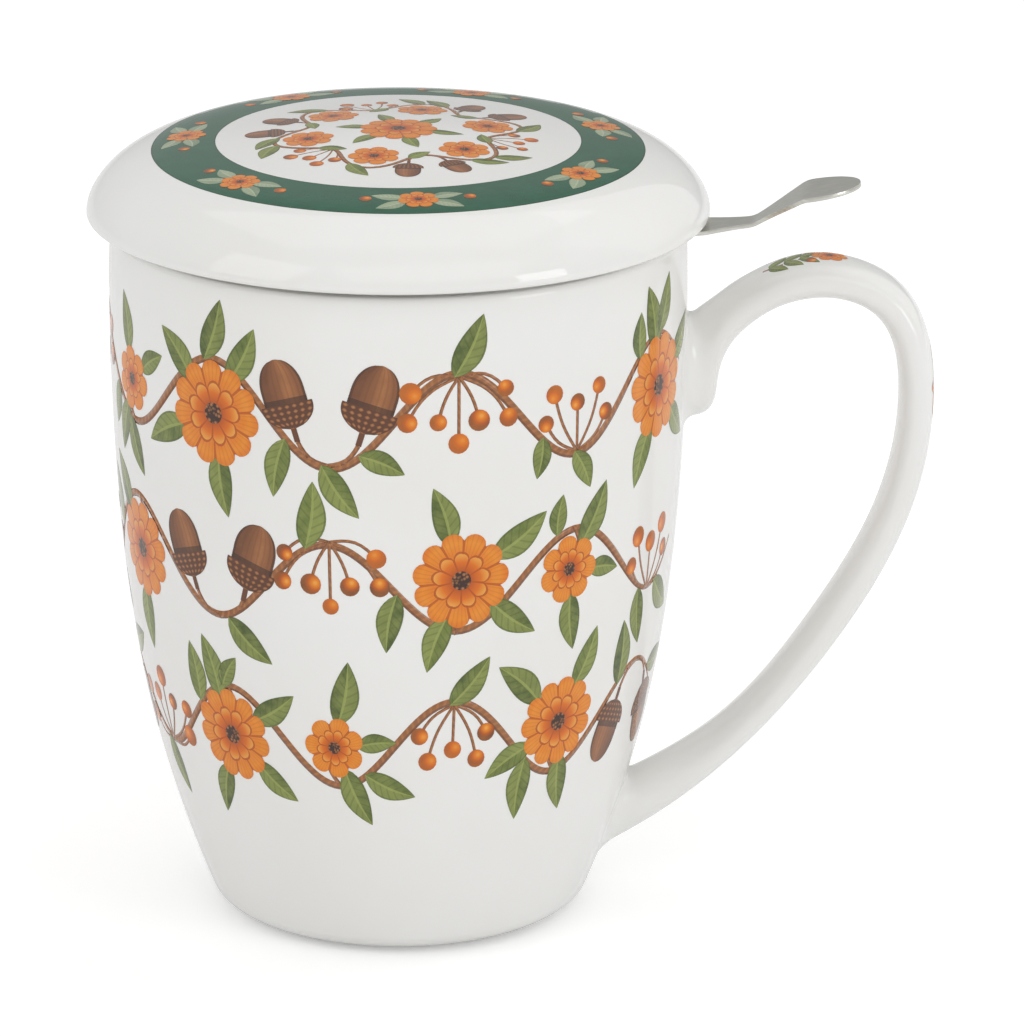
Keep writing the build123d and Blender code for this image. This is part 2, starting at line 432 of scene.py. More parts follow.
# %% [markdown]
# The lid
#
# The lid is turned in the same way. Its dome is low. Its edge overhangs the rim, rolls under in a flat
# curve and stays a little above the seat, which leaves the dark line between lid and cup. A skirt drops
# into the infuser and keeps the lid in place. A channel between seat and skirt keeps the wall even, because
# thick porcelain cracks in the kiln.

# %% Lid outline
STEEL_SHEET = 0.6
SLEEVE_SHEET = 0.5
WELD_GAP = 0.05
LID_LEVEL = BODY_HEIGHT + STEEL_SHEET
LID_OVERHANG = 3.3
LID_RADIUS = rim_radius + LID_OVERHANG
# The dome stays this far below the CAD's top, so that the print on it stays inside the CAD's box
PRINT_ROOM = 0.1
LID_HEIGHT = 13.2 - PRINT_ROOM
LID_EDGE_WIDTH = 2.5
LID_EDGE_HEIGHT = 0.75
LID_EDGE_LIFT = 0.6
FLANGE_INSET = 2.1
FLANGE_RADIUS = rim_radius - FLANGE_INSET
LID_SEAT_MARGIN = 1.7
LID_SEAT = 4.1
LID_CHANNEL = 5.4
LID_CROWN = 4.2
LID_SAG = 2.0
COLLAR_INSET = 7.3
COLLAR_RADIUS = mouth_radius - COLLAR_INSET
SLEEVE_INSIDE = COLLAR_RADIUS - STEEL_SHEET - WELD_GAP - SLEEVE_SHEET
SKIRT_CLEARANCE = 0.55
SKIRT_RADIUS = SLEEVE_INSIDE - SKIRT_CLEARANCE
SKIRT_DROP = 6.5
SKIRT_WALL = 3.2
LID_INNER_SHARE = 0.31
DOME_SHARES = [(0.974, 0.348), (0.845, 0.704), (0.592, 0.861)]

edge_middle = (LID_RADIUS - LID_EDGE_WIDTH, LID_LEVEL + LID_EDGE_LIFT + LID_EDGE_HEIGHT)
edge_round = edge_middle + quarter((0, 0), 1, -90, 0, 13) * (LID_EDGE_WIDTH, LID_EDGE_HEIGHT)
dome_points = [(LID_RADIUS * r, LID_LEVEL + LID_HEIGHT * z) for r, z in [*DOME_SHARES, (0, 1)]]
dome = smooth_line([edge_round[-1], *dome_points], 90, start=(0, 1), end=(-1, 0))
seat_outside = FLANGE_RADIUS + LID_SEAT_MARGIN
seat_inside = seat_outside - LID_SEAT
skirt_inside = SKIRT_RADIUS - SKIRT_WALL
ceiling = LID_LEVEL + LID_HEIGHT - LID_CROWN
underneath = softened([
    (skirt_inside, ceiling - LID_SAG),
    (skirt_inside, LID_LEVEL - SKIRT_DROP),
    (SKIRT_RADIUS, LID_LEVEL - SKIRT_DROP),
    (SKIRT_RADIUS, LID_LEVEL + LID_CHANNEL),
    (seat_inside, LID_LEVEL + LID_CHANNEL),
    (seat_inside, LID_LEVEL),
    (seat_outside, LID_LEVEL),
    edge_round[0],
], SKIRT_WALL * LID_INNER_SHARE)
vault = smooth_line([(0, ceiling), underneath[0]], 24, start=(1, 0), end=(skirt_inside, -2 * LID_SAG))
lid_outline = np.concatenate([vault, underneath[1:], edge_round[1:], dome[1:]])
lid_shell = lathe("lid_shell", lid_outline, TURNS, porcelain)
stand_for(lid_shell, "lid", "lid")

# %% [markdown]
# The handle
#
# The handle is cast on its own and luted to the cup with slip while both are leather hard. Its section is a
# flattened oval. It swells into the wall at both roots, and below the upper root a short spur runs down the
# wall and gives the finger a rest. The shape is a row of sections between an outer and an inner edge, so
# both edges are drawn as smooth lines through listed pairs of points, and each pair gives one section.
# Near the wall the skin turns along the wall in a quarter circle, as a thumb leaves the slip, and meets it
# without a corner. So each line along the skin is followed to where it meets the wall, and gets its own row
# of points there.

# %% Handle
HANDLE_WIDTH = 11.5
SECTION_POWER = 2.5
ROOT_FLARE = 1.4
ROOT_SIDE_FLARE = 3.0
ROOT_STEPS = 15
# Rows that go on under the glaze: how deep each lies, and how far past the fillet
ROOT_UNDER = [(0.60, 0.80), (0.10, 0.70), (0.02, 0.40)]
FINE_STATIONS = 2500
STATIONS = 150
DENSE_ENDS = 0.6
ROUND_STEPS = 56
# The spur's pairs, each an outer and an inner point, from inside the wall outwards
SPUR_PAIRS = [
    ((39.6, 87.4), (39.4, 74.8)),
    ((41.8, 89.0), (42.8, 74.7)),
    ((43.2, 90.0), (45.0, 75.5)),
    ((44.4, 90.9), (46.1, 77.5)),
    ((45.7, 91.8), (46.5, 80.6)),
    ((47.0, 92.7), (47.6, 84.5)),
    ((48.4, 93.7), (49.9, 87.7)),
]
# The rest of the loop: the middle line, where it comes from, and the thickness across it
LOOP_FROM = (47.5, 89.65)
LOOP_POINTS = [
    (51.5, 92.46), (56.2, 94.74), (62.3, 95.58), (71.4, 91.83), (75.58, 77.48),
    (71.9, 58.76), (62.6, 41.91), (48.1, 24.54), (41.0, 19.03), (29.0, 12.27)]
LOOP_THICKNESS = [5.4, 5.5, 5.6, 5.5, 5.05, 4.9, 4.9, 5.0, 6.2, 8.2]

loop_line = smooth_line([LOOP_FROM, *LOOP_POINTS], 900)
pairs = [list(pair) for pair in SPUR_PAIRS]
for point, thickness in zip(LOOP_POINTS, LOOP_THICKNESS):
    k = int(np.argmin(np.linalg.norm(loop_line - point, axis=1)))
    along = loop_line[min(k + 1, len(loop_line) - 1)] - loop_line[max(k - 1, 0)]
    across = np.array((-along[1], along[0])) / np.linalg.norm(along) * thickness / 2
    pairs.append([np.array(point) + across, np.array(point) - across])
both = smooth_line(np.array([np.r_[a, b] for a, b in pairs]), FINE_STATIONS)
outer_edge, inner_edge = both[:, :2], both[:, 2:]

# %% Handle skin
angles = np.linspace(0, TURN, ROUND_STEPS, endpoint=False)
along_share = np.sign(np.cos(angles)) * np.abs(np.cos(angles)) ** (2 / SECTION_POWER)
side_share = np.sign(np.sin(angles)) * np.abs(np.sin(angles)) ** (2 / SECTION_POWER)
middle = (outer_edge + inner_edge) / 2
half = (outer_edge - inner_edge) / 2
skin = np.zeros((FINE_STATIONS, ROUND_STEPS, 3))
skin[:, :, 0] = middle[:, :1] + half[:, :1] * along_share
skin[:, :, 1] = HANDLE_WIDTH / 2 * side_share
skin[:, :, 2] = middle[:, 1:] + half[:, 1:] * along_share
step_on = np.gradient(skin, axis=0)
step_round = (np.roll(skin, -1, axis=1) - np.roll(skin, 1, axis=1)) / 2
outward = np.cross(step_round, step_on)
if ((skin - skin.mean(axis=1, keepdims=True)) * outward).sum() < 0:
    outward = -outward
outward /= np.linalg.norm(outward, axis=2, keepdims=True)
reach = np.hypot(skin[:, :, 0], skin[:, :, 1])
clear = reach - wall_radius(skin[:, :, 2])
outer_slope = np.gradient(outer_side[:, 0], outer_side[:, 1])
wall_slope = np.interp(skin[:, :, 2], outer_side[:, 1], outer_slope)
wall_out = np.stack([skin[:, :, 0] / reach, skin[:, :, 1] / reach, -wall_slope], -1)
wall_out /= np.linalg.norm(wall_out, axis=2, keepdims=True)
along_wall = outward - (outward * wall_out).sum(axis=2, keepdims=True) * wall_out
along_wall /= np.linalg.norm(along_wall, axis=2, keepdims=True)
print("handle skin", skin.shape[:2], "reaches", round(float(-clear.min()), 2), "mm into the wall")

# %% Handle rows, with a fillet at each root
turn = np.radians(np.linspace(90, 0, ROOT_STEPS))
even = np.linspace(0, 1, STATIONS + 2)[1:-1]
dense = even - DENSE_ENDS * np.sin(TURN * even) / TURN


def between(values, at):
    """Values of one line along the skin, at stations that need not be whole numbers."""
    low = np.clip(at.astype(int), 0, len(values) - 2)
    share = (at - low)[:, None]
    return values[low] * (1 - share) + values[low + 1] * share


def root_stations(heights, wanted):
    """Where a line that starts inside the wall reaches the wanted heights over it."""
    out = int(np.argmax(heights > wanted[-1])) + 1
    return np.interp(wanted, np.maximum.accumulate(heights[:out]), np.arange(out))


def filleted(line, along, heights, shifts):
    """Points of a root, moved along the wall and set at their heights over it."""
    moved = line + along * shifts[:, None]
    on_wall = wall_radius(moved[:, 2]) + heights
    moved[:, :2] *= (on_wall / np.hypot(moved[:, 0], moved[:, 1]))[:, None]
    return moved


root_rows = ROOT_STEPS + len(ROOT_UNDER)
rows = np.zeros((2 * root_rows + STATIONS, ROUND_STEPS, 3))
for k, a in enumerate(angles):
    flare = ROOT_FLARE + (ROOT_SIDE_FLARE - ROOT_FLARE) * math.sin(a) ** 2
    over = np.r_[[-depth for depth, _ in ROOT_UNDER], flare * (1 - np.sin(turn))]
    shift = np.r_[[flare + further for _, further in ROOT_UNDER], flare * (1 - np.cos(turn))]
    first = root_stations(clear[:, k], over)
    last = FINE_STATIONS - 1 - root_stations(clear[::-1, k], over)[::-1]
    at = np.r_[first, first[-1] + (last[0] - first[-1]) * dense, last]
    line = between(skin[:, k], at)
    along = between(along_wall[:, k], at)
    line[:root_rows] = filleted(line[:root_rows], along[:root_rows], over, shift)
    line[-root_rows:] = filleted(line[-root_rows:], along[-root_rows:], over[::-1], shift[::-1])
    rows[:, k] = line

# %% Handle mesh
verts = [*rows.reshape(-1, 3), rows[0].mean(axis=0), rows[-1].mean(axis=0)]
faces = grid_faces(len(rows), ROUND_STEPS, closed=True)
for first, cap in ((0, len(verts) - 2), ((len(rows) - 1) * ROUND_STEPS, len(verts) - 1)):
    faces += [(first + k, first + (k + 1) % ROUND_STEPS, cap) for k in range(ROUND_STEPS)]
handle = mesh_piece("handle", verts, faces, porcelain)
stand_for(handle, "mug_handle", "mug")

# %% [markdown]
# Satin steel
#
# The infuser is thin stainless steel with a fine brushed finish. Brushing leaves short scratches in one
# direction, which a stretched noise gives, and handling leaves the gloss a little uneven.

# %% Steel finish
STEEL = (0.645, 0.640, 0.585)
STEEL_DARK = (0.550, 0.545, 0.500)
BRUSHING = (120.0, 2600.0, 2600.0)

steel, tree, shader, place = new_finish("satin_steel")
stretched = put(tree, "ShaderNodeMapping", {"Vector": place, "Scale": BRUSHING}).outputs["Vector"]
scratches = noise(tree, stretched, 1.0, 3.0)
feed(shader, {
    "Base Color": ramp(scratches, [(0.30, STEEL_DARK), (0.65, STEEL)]),
    "Roughness": spread(noise(tree, place, 90.0, 2.0), 0.24, 0.36),
    "Normal": bumps(scratches, 0.12, 0.02),
    "Metallic": 1.0,
})

# %% [markdown]
# The lifting tab
#
# The tab is stamped from sheet and bent: a flat root under the lid, a narrow neck, a rise and a rounded
# spoon for the fingertip. A grid of points follows the bent side view and is as wide, row by row, as the
# stamped outline. Solidify gives it the sheet's thickness, and a small bevel breaks its edges, which is
# what catches the light.

# %% Tab
TAB_TURN = math.radians(-6.3)
TAB_ROWS = 120
TAB_COLUMNS = 15
TAB_SIDE = [(34.03, 0.0), (44.63, 0.0), (51.43, 0.9), (58.83, 5.6), (66.83, 7.0)]
TAB_BEND = 4.0
TAB_ROOT_WIDTH = 11.0
TAB_STRAIGHT_TO = 38.03
TAB_NECK, TAB_NECK_WIDTH = 51.43, 4.4
TAB_SPOON, TAB_SPOON_WIDTH = 60.23, 11.0
TAB_TIP = 66.83
TAB_BREAK = 0.14

side = softened(TAB_SIDE, TAB_BEND, steps=14)
length = np.r_[0, np.cumsum(np.linalg.norm(np.diff(side, axis=0), axis=1))]
even = np.linspace(0, 1, TAB_ROWS)
spacing = (np.sin(even * math.pi / 2) + even) / 2
out = np.interp(spacing * length[-1], length, side[:, 0])
rise = np.interp(spacing * length[-1], length, side[:, 1])


def eased(x, x0, x1, w0, w1):
    """A width that goes from w0 to w1 with level ends."""
    k = np.clip((x - x0) / (x1 - x0), 0, 1)
    return w0 + (w1 - w0) * k * k * (3 - 2 * k)


to_neck = eased(out, TAB_STRAIGHT_TO, TAB_NECK, TAB_ROOT_WIDTH, TAB_NECK_WIDTH)
to_spoon = eased(out, TAB_NECK, TAB_SPOON, TAB_NECK_WIDTH, TAB_SPOON_WIDTH)
tip_share = np.clip((out - TAB_SPOON) / (TAB_TIP - TAB_SPOON), 0, 1)
width = np.where(out < TAB_NECK, to_neck, to_spoon) * np.sqrt(np.maximum(1 - tip_share**2, 0))
verts = []
for x, z, w in zip(out, rise, width):
    for y in np.linspace(-0.5, 0.5, TAB_COLUMNS) * w:
        verts.append((x * math.cos(TAB_TURN) - y * math.sin(TAB_TURN),
                      x * math.sin(TAB_TURN) + y * math.cos(TAB_TURN), LID_LEVEL + z))
tab = mesh_piece("tab", verts, grid_faces(TAB_ROWS, TAB_COLUMNS), steel)
if tab.data.polygons[0].normal.z < 0:
    tab.data.flip_normals()


def thicken(obj, sheet):
    """Give an object's faces the thickness of a sheet, inwards."""
    modifier = obj.modifiers.new("sheet", "SOLIDIFY")
    modifier.thickness = sheet * MM
    modifier.offset = -1


thicken(tab, STEEL_SHEET)
soften = tab.modifiers.new("edge", "BEVEL")
soften.width = TAB_BREAK * MM
soften.segments = 2
soften.limit_method = "ANGLE"
soften.angle_limit = math.radians(50)
settled(tab)
stand_for(tab, "infuser_tab", "infuser")

# %% [markdown]
# The perforated sleeve
#
# The infuser's wall is one strip of perforated sheet, rolled into a tube and welded. Its holes stand in
# staggered rows, over a thousand of them, so Geometry Nodes make it: one small tile with a round hole is
# copied over a flat grid of points, every other row is moved by half a tile, plain margins are added above
# and below, and the whole strip is rolled up. Cutting the holes with a boolean would be slower and leave
# untidy faces. The middle of each tile's edge has a point of its own, so that staggered tiles share all
# their corners and merge into one sheet.

# %% One tile with a hole
SLEEVE_RADIUS = SLEEVE_INSIDE + SLEEVE_SHEET
SLEEVE_BOTTOM = 34.0
SLEEVE_TOP = 101.5
SLEEVE_COLUMNS = 72
SLEEVE_ROWS = 21
SLEEVE_HOLE = 0.62
SLEEVE_HOLES_FROM = 40.0
SLEEVE_HOLES_TO = 93.0
HOLE_SIDES = 16
TILE_EDGE = [(1, 0), (1, 1), (0, 1), (-1, 1), (-1, 0), (-1, -1), (0, -1), (1, -1)]

tile_width = TURN * SLEEVE_RADIUS / SLEEVE_COLUMNS
tile_height = (SLEEVE_HOLES_TO - SLEEVE_HOLES_FROM) / SLEEVE_ROWS
verts = [(tile_width / 2 * x, tile_height / 2 * y) for x, y in TILE_EDGE]
for a in np.linspace(0, TURN, HOLE_SIDES, endpoint=False):
    verts.append((SLEEVE_HOLE * math.cos(a), SLEEVE_HOLE * math.sin(a)))
edge_points = len(TILE_EDGE)
faces = []
for k in range(edge_points):
    near = edge_points + 2 * k
    far = edge_points + (2 * k + 2) % HOLE_SIDES
    faces += [(k, (k + 1) % edge_points, far, near + 1), (k, near + 1, near)]


def flat_object(name, verts, faces):
    """A flat object for Geometry Nodes, from points in millimetres. It isn't put in the scene here."""
    mesh = bpy.data.meshes.new(name)
    mesh.from_pydata([(x * MM, y * MM, 0) for x, y in verts], [], faces)
    return bpy.data.objects.new(name, mesh)


hole_tile = flat_object("hole_tile", verts, faces)
print("tile", round(tile_width, 2), "by", round(tile_height, 2), "mm,", SLEEVE_COLUMNS * SLEEVE_ROWS, "holes")

# %% Helpers for Geometry Nodes


def new_tree(name, **sockets):
    """Start a tree with a geometry input and output and the named inputs between them."""
    tree = bpy.data.node_groups.new(name, "GeometryNodeTree")
    tree.interface.new_socket("Geometry", in_out="INPUT", socket_type="NodeSocketGeometry")
    for label, kind in sockets.items():
        tree.interface.new_socket(label, in_out="INPUT", socket_type="NodeSocket" + kind)
    tree.interface.new_socket("Geometry", in_out="OUTPUT", socket_type="NodeSocketGeometry")
    return tree, put(tree, "NodeGroupInput").outputs, put(tree, "NodeGroupOutput")


def geo(tree, kind, feeds=(), **settings):
    """Add a geometry node and return its first output."""
    return put(tree, "GeometryNode" + kind, feeds, **settings).outputs[0]


def shape_of(tree, obj):
    """The geometry of another object."""
    return put(tree, "GeometryNodeObjectInfo", {"Object": obj}).outputs["Geometry"]


def position(tree):
    """The x, y and z of each point."""
    return axes(tree, geo(tree, "InputPosition"))


def set_inputs(obj, tree, **inputs):
    """Add a node tree to an object and set the tree's inputs by their sockets' identifiers."""
    nodes = obj.modifiers.new("nodes", "NODES")
    nodes.node_group = tree
    names = {s.name: s.identifier for s in tree.interface.items_tree if s.in_out == "INPUT"}
    for label, value in inputs.items():
        nodes[names[label]] = value


# %% Tree that lays the tiles and rolls them up
GRID_SOCKETS = {"Columns": "Int", "Rows": "Int", "Width": "Float", "Height": "Float"}


def staggered_points(tree, given):
    """A grid of points, with every other row moved by half a tile."""
    columns, rows, width, height = (Number(given[label]) for label in GRID_SOCKETS)
    wide = (columns - 1) * width
    high = (rows - 1) * height
    feeds = {"Size X": wide, "Size Y": high, "Vertices X": columns, "Vertices Y": rows}
    row = calc("ROUND", (position(tree)[1] + high * 0.5) / height)
    move = vector(row % 2 * (width * 0.5))
    return geo(tree, "SetPosition", {"Geometry": geo(tree, "MeshGrid", feeds), "Offset": move})


def plain_margin(tree, given, low, high):
    """A plain strip as wide as the tiles, with points where theirs are."""
    columns = Number(given["Columns"])
    feeds = {"Size X": columns * Number(given["Width"]), "Size Y": (high - low) * MM,
             "Vertices X": columns * 2 + 1, "Vertices Y": 3}
    middle = ((low + high) / 2 - holes_middle) * MM
    return geo(tree, "Transform", {"Geometry": geo(tree, "MeshGrid", feeds), "Translation": (0, middle, 0)})


holes_middle = (SLEEVE_HOLES_FROM + SLEEVE_HOLES_TO) / 2
tree, given, result = new_tree(
    "perforated tube", Tile="Object", **GRID_SOCKETS, Radius="Float", Middle="Float", Finish="Material")
tile = shape_of(tree, given["Tile"])
copies = geo(tree, "InstanceOnPoints", {"Points": staggered_points(tree, given), "Instance": tile})
joined = put(tree, "GeometryNodeJoinGeometry")
for low, high in ((SLEEVE_BOTTOM, SLEEVE_HOLES_FROM), (SLEEVE_HOLES_TO, SLEEVE_TOP)):
    feed(joined, {0: plain_margin(tree, given, low, high)})
feed(joined, {0: copies})
strip_made = geo(tree, "RealizeInstances", {"Geometry": joined.outputs[0]})
radius = Number(given["Radius"])
flat_x, flat_y, _ = position(tree)
turn = flat_x / radius
rolled = vector(calc("COSINE", turn) * radius, calc("SINE", turn) * radius, flat_y + Number(given["Middle"]))
tube = geo(tree, "SetPosition", {"Geometry": strip_made, "Position": rolled})
welded = geo(tree, "MergeByDistance", {"Geometry": tube, "Distance": 0.02 * MM})
smooth = geo(tree, "SetShadeSmooth", {"Geometry": welded})
feed(result, {0: geo(tree, "SetMaterial", {"Geometry": smooth, "Material": given["Finish"]})})

# %% Sleeve
SHARP_ANGLE = math.radians(40)

sleeve = mesh_piece("sleeve", [(0, 0, 0)], [])
set_inputs(sleeve, tree, Tile=hole_tile, Columns=SLEEVE_COLUMNS, Rows=SLEEVE_ROWS, Width=tile_width * MM,
           Height=tile_height * MM, Radius=SLEEVE_RADIUS * MM, Middle=holes_middle * MM, Finish=steel)
thicken(sleeve, SLEEVE_SHEET)
settled(sleeve)
sleeve.data.set_sharp_from_angle(angle=SHARP_ANGLE)
stand_for(sleeve, "infuser_sleeve", "infuser")

# %% [markdown]
# The infuser's base
#
# The base is a shallow pressed cap, welded inside the foot of the sleeve. Its holes are fewer and lie in a
# flat plate, so here a boolean is simple: Geometry Nodes put small cylinders on a staggered grid, drop
# those too near the bend, and cut the rest out of a turned cap.

# %% Base
BASE_RADIUS = SLEEVE_INSIDE - WELD_GAP
BASE_TOP = SLEEVE_BOTTOM + 4.0
BASE_BEND = 1.5
BASE_TURNS = 96
BASE_GRID = 21
BASE_PITCH = 2.6
BASE_HOLES_WITHIN = 26.0
PIN_DEPTH = 3.0

base_outline = []
for sheet in (0, SLEEVE_SHEET):
    level, radius = SLEEVE_BOTTOM + sheet, BASE_RADIUS - sheet
    base_outline.append(softened([(0, level), (radius, level), (radius, BASE_TOP)],
                                 BASE_BEND + SLEEVE_SHEET - sheet))
base = lathe("base", np.concatenate([base_outline[0], base_outline[1][::-1]]), BASE_TURNS)
tree, given, result = new_tree(
    "perforated cap", **GRID_SOCKETS, Hole="Float", Within="Float", Level="Float", Finish="Material")
points = staggered_points(tree, given)
too_far = measure(tree, "LENGTH", geo(tree, "InputPosition")) > Number(given["Within"])
points = geo(tree, "DeleteGeometry", {"Geometry": points, "Selection": too_far})
pin = geo(tree, "MeshCylinder", {"Vertices": HOLE_SIDES, "Radius": given["Hole"], "Depth": PIN_DEPTH * MM})
pins = geo(tree, "RealizeInstances", {0: geo(tree, "InstanceOnPoints", {"Points": points, "Instance": pin})})
pins = geo(tree, "Transform", {"Geometry": pins, "Translation": vector(z=Number(given["Level"]))})
cut = geo(tree, "MeshBoolean", {"Mesh 1": given["Geometry"], "Mesh 2": pins}, operation="DIFFERENCE")
feed(result, {0: geo(tree, "SetMaterial", {"Geometry": cut, "Material": given["Finish"]})})
set_inputs(base, tree, Columns=BASE_GRID, Rows=BASE_GRID, Width=BASE_PITCH * MM, Height=BASE_PITCH * MM,
           Hole=SLEEVE_HOLE * MM, Within=BASE_HOLES_WITHIN * MM, Level=SLEEVE_BOTTOM * MM, Finish=steel)
settled(base)
base.data.set_sharp_from_angle(angle=SHARP_ANGLE)
stand_for(base, "infuser_base", "infuser")

# %% [markdown]
# The infuser's rim
#
# The flange and collar are pressed from one disc. The CAD node already has this shape, with the slot that
# takes the tab's root, so it stays and only gets the steel.

# %% Rim
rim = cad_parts["infuser_rim"]
rim.data.materials.clear()
rim.data.materials.append(steel)
print("rim triangles", len(rim.data.polygons))

# %% [markdown]
# The printed design
#
# The cup, the lid and the handle carry a transfer print under the glaze: autumn blossoms, acorns, berries
# and leaves on winding stems, in orange, brown and green. A print could be painted by the porcelain's
# material, but dozens of motifs in shader nodes are hard to read. So each motif is drawn once, flat, as a
# small mesh. Geometry Nodes copy it to its places on a flat plan, then cast every point onto the porcelain.
# Each motif keeps its own flat coordinates in an attribute called spot, and its ink paints from these.

# %% Leaves
LEAF_LENGTH = 10.0
SHORT_LEAF_LENGTH = 6.8
LEAF_TIP = 0.04
LEAF_STEPS = 12
LEAF_COLUMNS = 4


def flat_motif(name, verts, faces, spots):
    """A flat object that keeps its own coordinates for its ink."""
    motif = flat_object(name, verts, faces)
    attribute = motif.data.attributes.new("spot", "FLOAT_VECTOR", "POINT")
    attribute.data.foreach_set("vector", np.array(spots, np.float32).ravel())
    return motif


def strip(steps, columns, half_width, centre, kind=0.0):
    """Grid of a shape along its middle line, from its half width and centre at each share of its length."""
    verts, spots = [], []
    for s in np.arange(steps + 1) / steps:
        x, y = centre(s)
        for t in 2 * np.arange(columns + 1) / columns - 1:
            verts.append((x + half_width(s) * t, y))
            spots.append((s, t, kind))
    return verts, grid_faces(steps + 1, columns + 1), spots


def leaf_motif(name, length, width, bend):
    """A pointed leaf from the origin along +Y, with a slight bend."""
    def half_width(s):
        return max(width / 2 * max(math.sin(math.pi * s**0.8), 0) ** 0.85, LEAF_TIP)

    def centre(s):
        return bend * math.sin(math.pi * s), length * s

    return flat_motif(name, *strip(LEAF_STEPS, LEAF_COLUMNS, half_width, centre))


leaf_long = leaf_motif("leaf_long", LEAF_LENGTH, width=4.3, bend=0.5)
leaf_short = leaf_motif("leaf_short", SHORT_LEAF_LENGTH, width=3.4, bend=-0.3)

# %% Blossoms, berries and the lid's band
BLOSSOM_RADIUS = 7.6
SMALL_BLOSSOM_RADIUS = 5.2
BERRY_RADIUS = 1.45
BAND_INSIDE = 26.4
BAND_OUTSIDE = 35.7
BAND_STEPS = 8
BAND_TURNS = 160


def ring_faces(rings, turns, first=0):
    """Faces between rings of points about the origin, seen from above."""
    return [tuple(first + k for k in face[::-1]) for face in grid_faces(rings, turns, closed=True)]


def blossom_motif(name, radius, petals, notch, rings):
    """A round blossom about the origin, with a scalloped edge."""
    turns = petals * 8
    verts, spots = [(0, 0)], [(0, 0, 0)]
    for r in rings:
        for a in TURN * np.arange(turns) / turns:
            dent = radius * r * (1 - notch * r**3 * (1 - abs(math.sin(petals * a / 2)) ** 0.6))
            verts.append((dent * math.cos(a), dent * math.sin(a)))
            spots.append((r * math.cos(a), r * math.sin(a), petals))
    heart = [(0, 1 + k, 1 + (k + 1) % turns) for k in range(turns)]
    return flat_motif(name, verts, heart + ring_faces(len(rings), turns, 1), spots)


def band_motif(name, inside, outside, steps, turns):
    """A flat ring about the origin."""
    verts, spots = [], []
    for s in np.arange(steps + 1) / steps:
        r = inside + (outside - inside) * s
        for t in np.arange(turns) / turns:
            verts.append((r * math.cos(TURN * t), r * math.sin(TURN * t)))
            spots.append((s, t, 0))
    return flat_motif(name, verts, ring_faces(steps + 1, turns), spots)


blossom_wide = blossom_motif("blossom_wide", BLOSSOM_RADIUS, petals=11, notch=0.16,
                             rings=[0.12, 0.24, 0.38, 0.52, 0.66, 0.80, 0.91, 1.0])
blossom_small = blossom_motif("blossom_small", SMALL_BLOSSOM_RADIUS, petals=7, notch=0.22,
                              rings=[0.12, 0.30, 0.50, 0.70, 0.86, 1.0])
berry = blossom_motif("berry", BERRY_RADIUS, petals=2, notch=0.0, rings=[0.5, 1.0])
green_ring = band_motif("green_ring", BAND_INSIDE, BAND_OUTSIDE, BAND_STEPS, BAND_TURNS)

# %% Acorn
ACORN_LENGTH = 13.0
ACORN_WIDTH = 8.6
STALK_HALF_WIDTH = 0.45


def acorn_motif(name, length, width):
    """An acorn that hangs along -Y from the origin: a stalk, a scaly cap and a nut with a round tip."""
    stalk, cap = 0.16 * length, 0.30 * length

    def stalk_width(s):
        return STALK_HALF_WIDTH

    def cap_width(s):
        crown = math.sqrt(max(1 - (1.06 * s - 0.06)**4, 0.02))
        return width / 2 * (0.80 + 0.20 * math.cos((s - 0.1) * 2.4)) * crown

    def nut_width(s):
        tip = 1 - (1 - min(s / 0.7, 1)) ** 2.2
        return width * max(0.42 * math.sqrt(tip), 0.02)

    verts, faces, spots = [], [], []
    for kind, (steps, half_width, low, high) in enumerate((
            (3, stalk_width, -stalk, 0.0), (12, cap_width, -stalk - cap, -stalk),
            (24, nut_width, -length, -stalk - cap))):
        part = strip(steps, 6, half_width, lambda s: (0.0, low + (high - low) * s), float(kind))
        faces += [tuple(len(verts) + k for k in face) for face in part[1]]
        verts += part[0]
        spots += part[2]
    return flat_motif(name, verts, faces, spots)


acorn = acorn_motif("acorn", ACORN_LENGTH, ACORN_WIDTH)

# %% [markdown]
# Print inks
#
# Transfer prints are screened from a few inks, with soft steps from light to dark like a watercolour. Each
# ink reads the motif's own coordinates and a tint that differs from copy to copy. A cloudy noise, called
# the blot, breaks up the even colour as wet paint does. The glaze lies over the ink, so its gloss is the
# porcelain's. Each ink's colour is a function of these, and it mixes one tone over another.

# %% Make an ink


def new_ink(name, colour, *tones):
    """Make an ink from a function of the motif's x, y and z, the tint and the blot, and some tones."""
    material, tree, shader, place = new_finish(name)
    blot = spread(noise(tree, place, 420.0, 4.0, 0.6), 0.0, 1.0, 0.3, 0.7)
    spot = put(tree, "ShaderNodeAttribute", attribute_name="spot").outputs["Vector"]
    tint = Number(put(tree, "ShaderNodeAttribute", attribute_name="tint").outputs["Fac"])
    feed(shader, {"Base Color": colour(*axes(tree, spot), tint, blot, *tones),
                  "Roughness": spread(blot, 0.02, 0.06), "IOR": GLAZE_IOR})
    return material


def lines(value, count, limit):
    """Thin lines across a number that runs over an angle: 1 where its sine is above a limit."""
    return calc("SINE", value * count) > limit


# %% Leaf ink


def leaf_colour(x, y, z, tint, blot, dark, middle, light):
    """Two halves of different tone, side veins, a pale rib and a darker edge."""
    tone = blend(tint, dark, middle)
    tone = blend((y > 0) * 0.45, tone, light)
    tone = blend(blot * 0.55, tone, light)
    tone = blend(lines(x - abs(y) * 0.16, 46.0, 0.72) * 0.30, tone, dark)
    tone = blend((abs(y) < 0.10) * 0.75, tone, light)
    return blend((abs(y) > 0.86) * 0.45, tone, dark)


